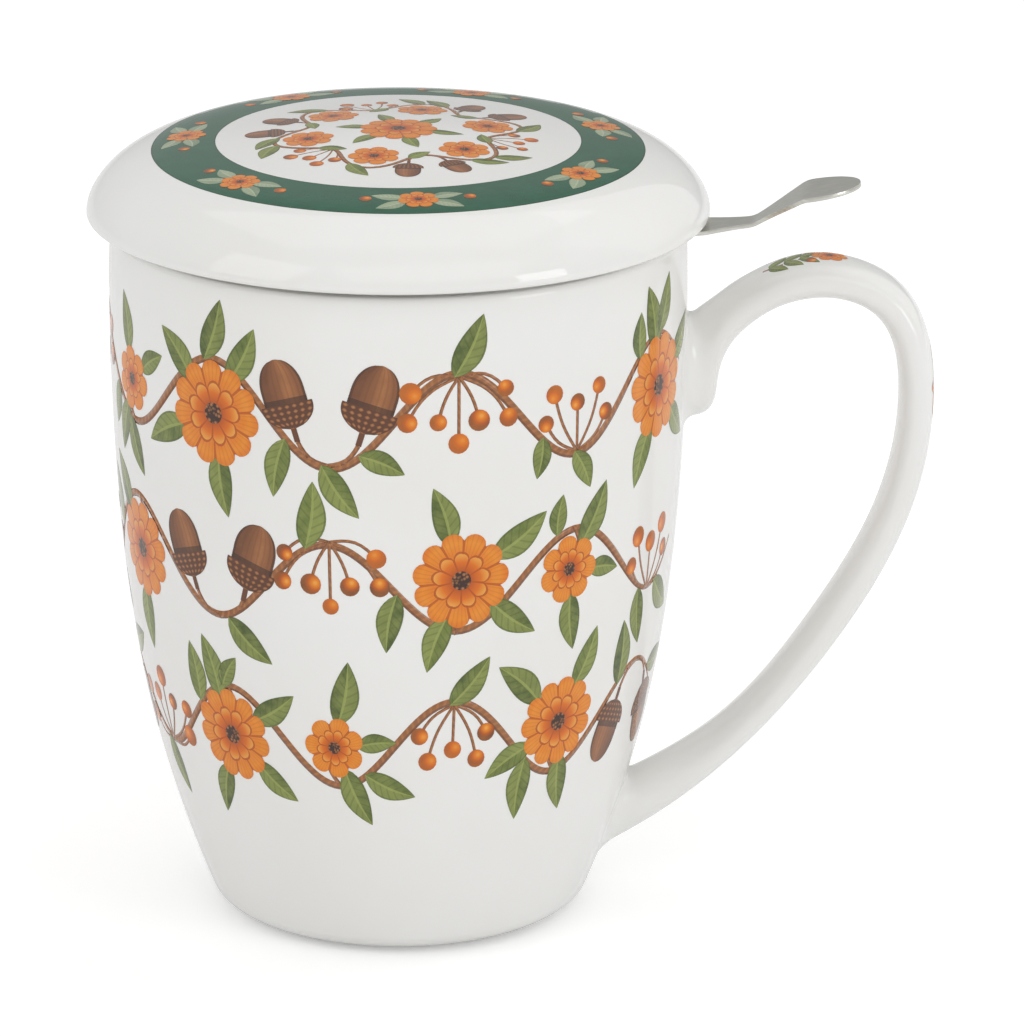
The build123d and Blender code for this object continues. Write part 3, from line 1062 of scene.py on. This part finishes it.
leaf_ink = new_ink(
    "leaf_ink", leaf_colour, (0.050, 0.080, 0.014), (0.120, 0.162, 0.030), (0.330, 0.375, 0.100))
pale_leaf_ink = new_ink(
    "pale_leaf_ink", leaf_colour, (0.160, 0.230, 0.150), (0.260, 0.330, 0.210), (0.480, 0.540, 0.360))

# %% Blossom ink
ORANGE_DEEP = (0.43, 0.070, 0.007)
ORANGE = (0.72, 0.163, 0.008)
AMBER = (0.81, 0.250, 0.013)
STRAW = (0.85, 0.410, 0.070)
BROWN_DARK = (0.046, 0.020, 0.013)
BROWN = (0.150, 0.055, 0.024)
CHESTNUT = (0.260, 0.098, 0.036)
TAN = (0.420, 0.170, 0.060)
INNER_PETALS = 9


def blossom_colour(x, y, z, tint, blot):
    """A ring of petals, a smaller ring upon it with a dark outline, and a seedy heart."""
    flat = vector(x, y)
    reach = measure(tree_of(x), "LENGTH", flat)
    turn = calc("ARCTAN2", y, x)
    outer_fold = abs(calc("SINE", turn * z * 0.5))
    inner_fold = abs(calc("COSINE", turn * (INNER_PETALS / 2)))
    petal = ramp(reach, [(0.25, ORANGE_DEEP), (0.55, ORANGE), (0.82, AMBER), (0.97, ORANGE)])
    petal = blend(tint * 0.55, petal, AMBER)
    petal = blend(blot * 0.30, petal, STRAW)
    petal = blend((outer_fold < 0.18) * 0.75, petal, ORANGE_DEEP)
    petal = blend(lines(turn, 55.0, 0.55) * 0.20, petal, ORANGE_DEEP)
    inner = ramp(reach, [(0.15, ORANGE_DEEP), (0.40, ORANGE), (0.60, STRAW)])
    inner = blend((inner_fold < 0.22) * 0.8, inner, ORANGE_DEEP)
    edge = inner_fold ** 0.6 * 0.17 + 0.43
    tone = blend(reach < edge, petal, inner)
    tone = blend((abs(reach - edge) < 0.025) * 0.85, tone, ORANGE_DEEP)
    seeds = put(tree_of(x), "ShaderNodeTexVoronoi", {"Vector": flat, "Scale": 13.0}).outputs["Distance"]
    heart = ramp(Number(seeds), [(0.20, TAN), (0.55, BROWN_DARK)])
    return blend(reach < 0.20, tone, heart)


blossom_ink = new_ink("blossom_ink", blossom_colour)

# %% Acorn, berry, stem and band inks
BERRY_GLINT = (-0.30, 0.35, 0.0)
BARK_TURNS = 5200.0
BAND_GREEN = (0.012, 0.092, 0.047)
BAND_LIGHT = (0.020, 0.125, 0.068)
BAND_EDGE = (0.008, 0.070, 0.034)


def acorn_colour(x, y, z, tint, blot):
    """A plain stalk, a cap with crossing scales and a streaked nut with a shine."""
    along, across = x * 14.0, y * 11.0
    crossing = calc("SINE", along + across) * calc("SINE", along - across)
    scales = ramp(spread(crossing, 0.5, 1.0), [(0.30, BROWN_DARK), (0.60, BROWN), (0.95, TAN)])
    nut = ramp(abs(y + 0.30) ** 1.3, [(0.0, TAN), (0.35, CHESTNUT), (0.95, BROWN)])
    nut = blend(blot * 0.60, nut, CHESTNUT)
    nut = blend(lines(y, 24.0, 0.5) * 0.25, nut, BROWN)
    nut = blend((abs(y) > 0.88) * 0.6, nut, BROWN_DARK)
    nut = blend((x > 0.88) * 0.7, nut, BROWN_DARK)
    return blend(z < 0.5, blend(z > 1.5, scales, nut), BROWN)


def berry_colour(x, y, z, tint, blot):
    """A round berry with a glint."""
    off_glint = measure(tree_of(x), "DISTANCE", vector(x, y), BERRY_GLINT)
    tone = ramp(off_glint, [(0.10, STRAW), (0.28, AMBER), (0.70, ORANGE_DEEP), (1.0, BROWN)])
    return blend(blot * 0.25, blend(tint * 0.55, tone, ORANGE), AMBER)


def stem_colour(x, y, z, tint, blot):
    """Slanting rings of bark and a darker side."""
    bark = calc("SINE", x * BARK_TURNS + y * 1.6)
    tone = ramp(spread(bark, 0.5, 1.0), [(0.15, BROWN), (0.85, TAN)])
    return blend((y > 0.35) * 0.6, blend(blot * 0.5, tone, TAN), BROWN)


def band_colour(x, y, z, tint, blot):
    """A cloudy green with a fine darker edge."""
    return blend(abs(x * 2 - 1) > 0.955, blend(blot * 0.7, BAND_GREEN, BAND_LIGHT), BAND_EDGE)


acorn_ink = new_ink("acorn_ink", acorn_colour)
berry_ink = new_ink("berry_ink", berry_colour)
stem_ink = new_ink("stem_ink", stem_colour)
band_ink = new_ink("band_ink", band_colour)
print("inks:", [m.name for m in bpy.data.materials if m.name.endswith("_ink")])

# %% [markdown]
# Node trees that lay the print
#
# One tree copies a motif to points and casts the copies onto the porcelain; a second sweeps a ribbon along
# curves and casts that. On the wall, the plan's width is wrapped round the axis and the rays run inwards.
# On the lid they run straight down. On the handle the plan's height is measured along the loop's outer
# edge, and the rays run across it. All keep the plan as the UV map for baking.

# %% Cast the plan onto the porcelain
PLAN_RADIUS = BODY_RADIUS
PLAN_WIDTH = TURN * PLAN_RADIUS
RAY_START = 20 * MM
RAY_LENGTH = 100 * MM
UP = (0.0, 0.0, 1.0)
ACROSS = (0.0, 1.0, 0.0)


def along_vector(tree, start, direction, distance):
    """A point at a distance along a direction from a start."""
    step = put(tree, "ShaderNodeVectorMath", {0: direction, "Scale": distance}, operation="SCALE").outputs[0]
    return put(tree, "ShaderNodeVectorMath", {0: start, 1: step}, operation="ADD").outputs[0]


def keep(tree, geometry, name, value, kind="FLOAT", domain="POINT"):
    """Store a value with the geometry under a name."""
    feeds = {"Geometry": geometry, "Name": name, "Value": value}
    return geo(tree, "StoreNamedAttribute", feeds, data_type=kind, domain=domain)


def kept(tree, name):
    """A number that was stored under a name."""
    return Number(geo(tree, "InputNamedAttribute", {"Name": name}, data_type="FLOAT"))


def rays_for(tree, given, ground_piece):
    """Where the plan's points are aimed from, and the direction that leads away from the porcelain there."""
    x, y, _ = position(tree)
    if ground_piece == "wall":
        turn = x / (PLAN_RADIUS * MM) - math.pi / 2
        away = vector(calc("COSINE", turn), calc("SINE", turn))
        return along_vector(tree, vector(z=y), away, PLAN_RADIUS * MM), away
    if ground_piece == "lid":
        return vector(x, y, (LID_LEVEL + LID_HEIGHT) * MM), UP
    feeds = {"Curves": shape_of(tree, given["Edge"]), "Length": y}
    at = put(tree, "GeometryNodeSampleCurve", feeds, mode="LENGTH").outputs
    away = put(tree, "ShaderNodeVectorMath", {0: at["Tangent"], 1: ACROSS}, operation="CROSS_PRODUCT")
    return along_vector(tree, at["Position"], ACROSS, x), away.outputs[0]


def cast_plan(tree, given, mesh, ground_piece):
    """Keep the plan as UV, cast every point onto the porcelain, lift it a little and give it its ink."""
    scale = 1 / (PLAN_WIDTH * MM)
    middle = (0.5, 0.5 if ground_piece == "lid" else 0, 0)
    feeds = {0: geo(tree, "InputPosition"), 1: (scale, scale, 0), 2: middle}
    uv = put(tree, "ShaderNodeVectorMath", feeds, operation="MULTIPLY_ADD").outputs[0]
    mesh = keep(tree, mesh, "OFBake", uv, "FLOAT2", "CORNER")
    near, away = rays_for(tree, given, ground_piece)
    inward = put(tree, "ShaderNodeVectorMath", {0: away, "Scale": -1.0}, operation="SCALE").outputs[0]
    hit = put(tree, "GeometryNodeRaycast", {
        "Target Geometry": shape_of(tree, given["Porcelain"]), "Ray Direction": inward,
        "Source Position": along_vector(tree, near, away, RAY_START), "Ray Length": RAY_LENGTH}).outputs
    landed = along_vector(tree, hit["Hit Position"], hit["Hit Normal"], given["Lift"])
    mesh = geo(tree, "SetPosition", {"Geometry": mesh, "Position": landed})
    return geo(tree, "SetMaterial", {"Geometry": mesh, "Material": given["Ink"]})


# %% Trees for motifs and stems
PRINT_SOCKETS = {"Porcelain": "Object", "Edge": "Object", "Lift": "Float", "Ink": "Material"}


def motif_tree(ground_piece):
    """Copy a motif to the plan's points, turned and sized by their attributes, and cast the copies."""
    tree, given, result = new_tree("motifs on the " + ground_piece, Motif="Object", **PRINT_SOCKETS)
    turned = put(tree, "FunctionNodeEulerToRotation", {0: vector(z=kept(tree, "spin"))}).outputs[0]
    copies = geo(tree, "InstanceOnPoints", {
        "Points": given["Geometry"], "Instance": shape_of(tree, given["Motif"]), "Rotation": turned,
        "Scale": kept(tree, "size")})
    toned = keep(tree, copies, "tint", kept(tree, "tint"), domain="INSTANCE")
    real = geo(tree, "RealizeInstances", {"Geometry": toned})
    feed(result, {0: cast_plan(tree, given, real, ground_piece)})
    return tree


def stem_tree(ground_piece):
    """Sweep a tapering ribbon along the plan's curves and cast it."""
    tree, given, result = new_tree(
        "stems on the " + ground_piece, **PRINT_SOCKETS, Width="Float", Step="Float")
    fine = geo(tree, "ResampleCurve", {"Curve": given["Geometry"], "Length": given["Step"]}, mode="LENGTH")
    upright = geo(tree, "SetCurveNormal", {"Curve": fine}, mode="Z_UP")
    on_curve = put(tree, "GeometryNodeSplineParameter").outputs
    path = keep(tree, upright, "run", on_curve["Length"])
    half = Number(given["Width"]) * 0.5
    line = geo(tree, "CurvePrimitiveLine", {"Start": vector(half * -1), "End": vector(half)})
    line = geo(tree, "ResampleCurve", {"Curve": line, "Count": 3}, mode="COUNT")
    profile = keep(tree, line, "side", on_curve["Factor"])
    ribbon = geo(tree, "CurveToMesh", {
        "Curve": path, "Profile Curve": profile, "Scale": geo(tree, "InputRadius")})
    spot = vector(kept(tree, "run"), kept(tree, "side") * 2 - 1)
    ribbon = keep(tree, ribbon, "spot", spot, "FLOAT_VECTOR")
    real = geo(tree, "RealizeInstances", {"Geometry": ribbon})
    feed(result, {0: cast_plan(tree, given, real, ground_piece)})
    return tree


TREES = {ground: (motif_tree(ground), stem_tree(ground)) for ground in ("wall", "lid", "handle")}

# %% [markdown]
# Plans
#
# A plan is a list of stems, a list of places for each motif, and the round spots that are already taken, so
# that a new leaf can be left out where it would touch something. All the chance in it comes from one seeded
# source.

# %% Plan helpers
chance = random.Random(7)
# Each motif's name in the scene, its shape, its ink and its lift over the porcelain
MOTIFS = {
    "band": ("band", green_ring, band_ink, 0.008),
    "leaf": ("leaves", leaf_long, leaf_ink, 0.018),
    "short": ("short_leaves", leaf_short, leaf_ink, 0.018),
    "pale": ("pale_leaves", leaf_short, pale_leaf_ink, 0.018),
    "berry": ("berries", berry, berry_ink, 0.028),
    "acorn": ("acorns", acorn, acorn_ink, 0.028),
    "blossom": ("blossoms", blossom_wide, blossom_ink, 0.038),
    "small": ("small_blossoms", blossom_small, blossom_ink, 0.038),
}
LEAF_GAP = 1.5
LEAF_TAKEN = 1.3
SPRAY_REACHES = (7.2, 9.8)
SPRAY_FAN = 0.42
SPRAY_STEM = 0.42
BERRY_TAKEN = 1.8
ACORN_DROP = 3.2
ACORN_APART = 4.4
ACORN_LEAN = 0.30
ACORN_STEM = 0.6
ACORN_TAKEN = 3.4


def new_plan():
    """An empty plan."""
    return {"stems": [], "marks": {key: [] for key in MOTIFS}, "taken": []}


def polar(x, y, distance, turn):
    """A point at a distance from another, in a direction."""
    return x + distance * math.cos(turn), y + distance * math.sin(turn)


def add_mark(plan, key, x, y, spin=0.0, size=1.0, taken=0.0):
    """Put a motif in the plan, and take a round spot for it."""
    plan["marks"][key].append((x, y, spin, size, chance.random()))
    if taken:
        plan["taken"].append((x, y, taken))


def add_stem(plan, start, end, bow, share):
    """Put a short stem in the plan, which bows to one side by a share of its length."""
    (x0, y0), (x1, y1) = start, end
    stem = []
    for s in np.linspace(0, 1, 9):
        off = bow * math.sin(math.pi * s)
        stem.append((x0 + (x1 - x0) * s - (y1 - y0) * off, y0 + (y1 - y0) * s + (x1 - x0) * off, share))
    plan["stems"].append(stem)


def add_leaf(plan, x, y, turn, size=1.0, first=0.35, room=None):
    """Put a leaf at a point, in a direction, if it touches nothing; a short one if a long one doesn't fit."""
    for key, full in (("leaf", LEAF_LENGTH), ("short", SHORT_LEAF_LENGTH)):
        length = full * size
        spots = [polar(x, y, length * s, turn) for s in (first, 0.65, 0.95)]
        gaps = [math.dist(spot, (tx, ty)) - tr for spot in spots for tx, ty, tr in plan["taken"]]
        if min(gaps, default=length) > LEAF_GAP * size and (room is None or all(room(*s) for s in spots)):
            add_mark(plan, key, x, y, turn - math.pi / 2, size * chance.uniform(0.90, 1.04))
            plan["taken"].extend((*spot, LEAF_TAKEN * size) for spot in spots)
            return


def add_spray(plan, x, y, turn, count, size=1.0):
    """Put a spray of berries on thin stems, fanned out about a direction."""
    for j in range(count):
        off = j - (count - 1) / 2
        a = turn + off * SPRAY_FAN
        tip = polar(x, y, SPRAY_REACHES[j % 2] * size, a)
        add_stem(plan, (x, y), tip, 0.06 * off, SPRAY_STEM * min(size + 0.2, 1))
        add_mark(plan, "berry", *tip, a, size * chance.uniform(0.85, 1.15), BERRY_TAKEN * size)


def add_acorns(plan, x, y, turn, size=1.0):
    """Put a pair of acorns on short stalks, side by side."""
    for side in (-1, 1):
        below = polar(x, y, ACORN_DROP * size, turn)
        tip = polar(*below, ACORN_APART * size, turn + side * math.pi / 2)
        lean = turn + side * ACORN_LEAN
        add_stem(plan, (x, y), tip, 0.15 * side, ACORN_STEM * min(size + 0.2, 1))
        add_mark(plan, "acorn", *tip, lean + math.pi / 2, size * chance.uniform(0.88, 0.98))
        plan["taken"].extend((*polar(*tip, d * size, lean), ACORN_TAKEN * size) for d in (3, 7, 11))


# %% Lay a plan
FILM = 0.006
STEM_LIFT = 0.008
STEM_WIDTH = 1.15
STEM_STEP = 0.9


def points_source(places):
    """Points in the plan, each with its spin, size and tint."""
    source = flat_object("plan", [place[:2] for place in places], [])
    for k, label in enumerate(("spin", "size", "tint")):
        numbers = np.array([place[2 + k] for place in places], np.float32)
        source.data.attributes.new(label, "FLOAT", "POINT").data.foreach_set("value", numbers)
    return source


def lines_source(name, stems):
    """Straight-sided curves in millimetres, from points with a thickness share each."""
    curve = bpy.data.curves.new(name, "CURVE")
    curve.dimensions = "3D"
    for stem in stems:
        spline = curve.splines.new("POLY")
        spline.points.add(len(stem) - 1)
        for point, (*place, share) in zip(spline.points, stem):
            point.co = (*(c * MM for c in place), *[0] * (3 - len(place)), 1)
            point.radius = share
    return bpy.data.objects.new(name, curve)


def lay(name, source, tree, body, **inputs):
    """Run a print tree on a source, give the film its thickness, and make it a piece that rides on a body."""
    scene.collection.objects.link(source)
    set_inputs(source, tree, **inputs)
    film = source.modifiers.new("film", "SOLIDIFY")
    film.thickness = FILM * MM
    film.offset = 1
    graph = bpy.context.evaluated_depsgraph_get()
    mesh = bpy.data.meshes.new_from_object(source.evaluated_get(graph))
    bpy.data.objects.remove(source)
    piece = bpy.data.objects.new(name, mesh)
    scene.collection.objects.link(piece)
    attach(piece, body)
    print(name, "faces", len(mesh.polygons))


def lay_plan(plan, prefix, ground_piece, porcelain_piece, body, stem_share=1.0, edge=None):
    """Lay all the stems and motifs of one plan."""
    motifs, stems = TREES[ground_piece]
    shared = {"Porcelain": porcelain_piece, "Edge": edge}
    lay(prefix + "_stems", lines_source("plan", plan["stems"]), stems, body, **shared, Ink=stem_ink,
        Lift=STEM_LIFT * MM, Width=STEM_WIDTH * stem_share * MM, Step=STEM_STEP * MM)
    for key, places in plan["marks"].items():
        if places:
            label, motif, ink, lift = MOTIFS[key]
            lay(f"{prefix}_{label}", points_source(places), motifs, body, **shared, Ink=ink,
                Lift=lift * MM, Motif=motif)


# %% [markdown]
# The print on the wall
#
# Three winding stems run round the cup, from one side of the handle to the other. Each bend of a stem holds
# a blossom, a pair of acorns or a spray of berries, and leaves grow from the stems and from behind the
# blossoms. In each row, B and s are a wide and a small blossom, a is acorns, and w and b are sprays of
# seven and five berries.

# %% Stems and their motifs
HANDLE_PLACE = PLAN_WIDTH / 4
HANDLE_CLEAR = 11.0
RUN_START = HANDLE_PLACE - PLAN_WIDTH + HANDLE_CLEAR
RUN_END = HANDLE_PLACE - HANDLE_CLEAR
BENDS = 6.5
# Each row's height, swing, phase and motifs
STEM_ROWS = [
    (86.0, 6.6, 0.0, "BawbBawsBawbB"),
    (61.0, 7.0, math.pi, "sBawBsbBawBsb"),
    (36.5, 6.4, 0.0, "awBsbBawBsbBa"),
]
# Each blossom's key, radius and distance from the row's level
BLOSSOMS = {"B": ("blossom", BLOSSOM_RADIUS, 1.2), "s": ("small", SMALL_BLOSSOM_RADIUS, -0.6)}
BERRIES = {"w": 7, "b": 5}
TAPER_FROM = 0.35
TAPER_LENGTH = 30.0

wave = TURN * BENDS / (RUN_END - RUN_START)
wall_plan = new_plan()
for level, swing, phase, order in STEM_ROWS:
    stem = []
    for x in np.arange(RUN_START, RUN_END, STEM_STEP):
        taper = min(1.0, TAPER_FROM + min(x - RUN_START, RUN_END - x) / TAPER_LENGTH)
        y = level + swing * math.sin(wave * (x - RUN_START) + phase) + 0.5 * math.sin(x / 5)
        stem.append((x, y, taper))
    wall_plan["stems"].append(stem)
    for k, mark in enumerate(order):
        x = RUN_START + math.pi / wave * (k + 0.5)
        y = level + swing * math.sin(wave * (x - RUN_START) + phase)
        inward = -1 if y > level else 1
        if mark in BLOSSOMS:
            key, radius, offset = BLOSSOMS[mark]
            middle = (x + chance.uniform(-0.8, 0.8), y + inward * (swing + offset))
            add_stem(wall_plan, (x, y), middle, bow=0.22, share=0.62)
            add_mark(wall_plan, key, *middle, chance.uniform(0, 6.28), chance.uniform(0.92, 1.04), radius)
        elif mark in BERRIES:
            add_spray(wall_plan, x, y, inward * math.pi / 2, BERRIES[mark])
        else:
            add_acorns(wall_plan, x, y, inward * math.pi / 2)

# %% Leaves on the wall
LEAF_EVERY = 2.7
BLOSSOM_LEAVES = 5
LEAF_TURN = 1.257
LEAF_ROOT_SHARE = 0.72

for key, radius, _ in BLOSSOMS.values():
    for x, y, spin, *_ in list(wall_plan["marks"][key]):
        for k in range(BLOSSOM_LEAVES):
            a = spin + LEAF_TURN * k
            add_leaf(wall_plan, *polar(x, y, LEAF_ROOT_SHARE * radius, a), a, first=0.5)
side = 1
for level, swing, phase, _ in STEM_ROWS:
    for x in np.arange(RUN_START + 3, RUN_END - 2, LEAF_EVERY):
        a = wave * (x - RUN_START) + phase
        lean = math.atan(swing * wave * math.cos(a))
        side = -side
        add_leaf(wall_plan, x, level + swing * math.sin(a), lean + side * chance.uniform(0.75, 1.15))
lay_plan(wall_plan, "cup", "wall", cup, "mug")

# %% [markdown]
# The print on the lid
#
# A deep green band runs round the lid, with small blossoms between pale leaves. Inside it the porcelain is
# white, with a wreath on a winding stem about one blossom.

# %% Wreath
WREATH_RADIUS = 15.8
WREATH_SWING = 2.6
WREATH_WAVES = 6
WREATH_STEPS = 240
WREATH_LEAVES = 60
HEART_LEAVES = 12
MEDALLION_RADIUS = 25.6
FINE_STEM_SHARE = 0.62


def wreath_radius(a):
    """How far the wreath's stem is from the middle, at an angle."""
    return WREATH_RADIUS + WREATH_SWING * math.sin(WREATH_WAVES * a)


def in_medallion(x, y):
    """Whether a point is inside the band."""
    return math.hypot(x, y) < MEDALLION_RADIUS


lid_plan = new_plan()
add_mark(lid_plan, "band", 0, 0)
add_mark(lid_plan, "blossom", 0, 0, spin=0.3, size=0.74, taken=5.6)
all_round = np.linspace(0, TURN, WREATH_STEPS + 1)
lid_plan["stems"].append([(*polar(0, 0, wreath_radius(a), a), 1.0) for a in all_round])
for k in range(2 * WREATH_WAVES):
    a = math.pi / WREATH_WAVES * (k + 0.5)
    here = polar(0, 0, wreath_radius(a), a)
    if k % 2 == 0:
        add_mark(lid_plan, "small", *polar(0, 0, wreath_radius(a) - 5.0, a), a, size=0.72, taken=3.7)
    elif k % 4 == 1:
        add_acorns(lid_plan, *here, a, size=0.56)
    else:
        add_spray(lid_plan, *here, a, count=5, size=0.66)
for k in range(HEART_LEAVES):
    a = TURN * k / HEART_LEAVES + 0.3
    add_leaf(lid_plan, *polar(0, 0, 4.2, a), a, size=0.55, first=0.5)
for k in range(WREATH_LEAVES):
    a = TURN * k / WREATH_LEAVES
    out = a + (0.9 if k % 2 else math.pi - 0.9)
    add_leaf(lid_plan, *polar(0, 0, wreath_radius(a), a), out, size=0.62, room=in_medallion)

# %% Sprigs on the band
BAND_MIDDLE = 31.0
BAND_SPRIGS = 7

for k in range(BAND_SPRIGS):
    a = TURN * (k + 0.35) / BAND_SPRIGS
    here = polar(0, 0, BAND_MIDDLE, a)
    add_mark(lid_plan, "small", *here, a, size=0.56)
    for side in (-1, 1):
        for lean in (-0.40, 0.30):
            turn = a + side * (math.pi / 2 + lean)
            add_mark(lid_plan, "pale", *polar(*here, 2, turn), turn - math.pi / 2, size=0.70)
        add_mark(lid_plan, "berry", *polar(0, 0, BAND_MIDDLE, a + side * 0.24), a, size=0.62)
lay_plan(lid_plan, "lid", "lid", lid_shell, "lid", FINE_STEM_SHARE)

# %% [markdown]
# The print on the handle
#
# Three small sprigs lie on the outer face of the handle. Their plan is measured along the loop's outer
# edge, which is made a curve for this, and removed when the print is laid.

# %% Sprigs on the handle
# Where each sprig starts along the edge, and the side that it leans to
HANDLE_SPRIGS = [(16.0, 1), (46.0, -1), (83.0, 1)]
SPRIG_LENGTH = 8.5

handle_plan = new_plan()
for start, side in HANDLE_SPRIGS:
    tip = (0.8 * side, start + SPRIG_LENGTH)
    add_stem(handle_plan, (-0.8 * side, start), tip, bow=0.12 * side, share=0.8)
    for s in (0.12, 0.40, 0.68):
        for lean in (-0.8, 0.8):
            x = 0.6 * side * (2 * s - 1)
            add_mark(handle_plan, "short", x, start + SPRIG_LENGTH * s, lean, size=0.58)
    add_mark(handle_plan, "small", tip[0], tip[1] + 1.6, 0.4 * side, size=0.52)
    for lean in (-0.9, 0.9):
        add_mark(handle_plan, "berry", tip[0] + 3.0 * math.sin(lean), tip[1] - 1.2, size=0.6)
handle_edge = lines_source("handle_edge", [[(x, 0, z, 1) for x, z in outer_edge[::10]]])
lay_plan(handle_plan, "handle", "handle", handle, "mug", FINE_STEM_SHARE, handle_edge)
helpers = {handle_edge, hole_tile, *(entry[1] for entry in MOTIFS.values())}
print("helpers removed:", sorted(helper.name for helper in helpers))
for helper in helpers:
    bpy.data.objects.remove(helper)

# %% [markdown]
# Floor and light
#
# A product studio: a pale floor, a soft box on the left and one behind, broad sheets of light above the
# camera and overhead, and a small strip on the right, which draws the sharp glints on lid and handle. The
# rest of the room glows evenly, but is darker behind the mug on the right, so that the lid's glaze doesn't
# veil its green band there. The camera sees a white floor: its paper adds a little of its own light, more
# where the lamps don't reach, for rays that come straight from the camera or through glass, so that the
# shadow under the mug stays and no more light falls on the porcelain. Rays from a reflection see a share of
# it, so that the glaze's edges stand out from the floor.

# %% Floor
PAPER_LIGHT = (0.93, 0.93, 0.93)
PAPER_DARK = (0.91, 0.91, 0.91)
WHITE = (1, 1, 1, 1)
NEAR_GLOW = 0.29
FAR_GLOW = 0.48
MIRRORED_GLOW_SHARE = 0.35
NEAR_WITHIN = 0.3
FAR_BEYOND = 1.2
FLOOR_REACH = 3000.0

floor_paper, tree, shader, place = new_finish("floor_paper")
path = put(tree, "ShaderNodeLightPath").outputs
straight, through, mirrored = (
    Number(path[f"Is {kind} Ray"]) for kind in ("Camera", "Transmission", "Glossy"))
seen = calc("MAXIMUM", straight, through) + mirrored * MIRRORED_GLOW_SHARE
glow = spread(measure(tree, "LENGTH", place), NEAR_GLOW, FAR_GLOW, NEAR_WITHIN, FAR_BEYOND)
feed(shader, {
    "Base Color": ramp(noise(tree, place, 300.0, 2.0), [(0.2, PAPER_DARK), (0.8, PAPER_LIGHT)]),
    "Roughness": 0.9,
    "Specular IOR Level": 0.1,
    "Emission Color": WHITE,
    "Emission Strength": seen * glow,
})
corners = [(FLOOR_REACH * x, FLOOR_REACH * y, 0) for x, y in ((-1, -1), (1, -1), (1, 1), (-1, 1))]
ground = mesh_piece("ground", corners, [(0, 1, 2, 3)], floor_paper)

# %% Lights
LIT_POINT = Vector((0, 0, 0.06))
# Each lamp's name, place and size in metres, and power in watts
LAMPS = [
    ("left_box", (-0.80, -0.55, 0.55), (0.6, 0.8), 1.7),
    ("front_sheet", (0.25, -1.10, 1.00), (1.6, 0.9), 2.9),
    ("right_strip", (0.85, -0.65, 0.28), (0.36, 0.42), 1.55),
    ("back_box", (0.85, 0.55, 0.65), (1.2, 1.2), 2.2),
    ("top_sheet", (0.0, 0.25, 1.1), (1.1, 0.9), 1.8),
]

for name, place, size, power in LAMPS:
    data = bpy.data.lights.new(name, "AREA")
    data.shape = "RECTANGLE"
    data.size, data.size_y = size
    data.energy = power
    lamp = bpy.data.objects.new(name, data)
    lamp.location = place
    lamp.rotation_euler = (LIT_POINT - Vector(place)).to_track_quat("-Z", "Y").to_euler()
    scene.collection.objects.link(lamp)
    print(name, power, "W")

# %% World
WORLD_LIGHT = 0.57
DARK_LIGHT = 0.36
DARK_SIDE = (0.5, 0.866, 0.0)
DARK_FROM = 0.70
DARK_WHOLLY = 0.92

world = bpy.data.worlds.new("studio")
scene.world = world
world.use_nodes = True
tree = world.node_tree
looked_at = put(tree, "ShaderNodeTexCoord").outputs["Generated"]
nearness = measure(tree, "DOT_PRODUCT", looked_at, DARK_SIDE)
level = spread(nearness, WORLD_LIGHT, DARK_LIGHT, DARK_FROM, DARK_WHOLLY)
feed(tree.nodes["Background"], {"Color": WHITE, "Strength": level})
print("world strength", WORLD_LIGHT, "and", DARK_LIGHT, "on the dark side")
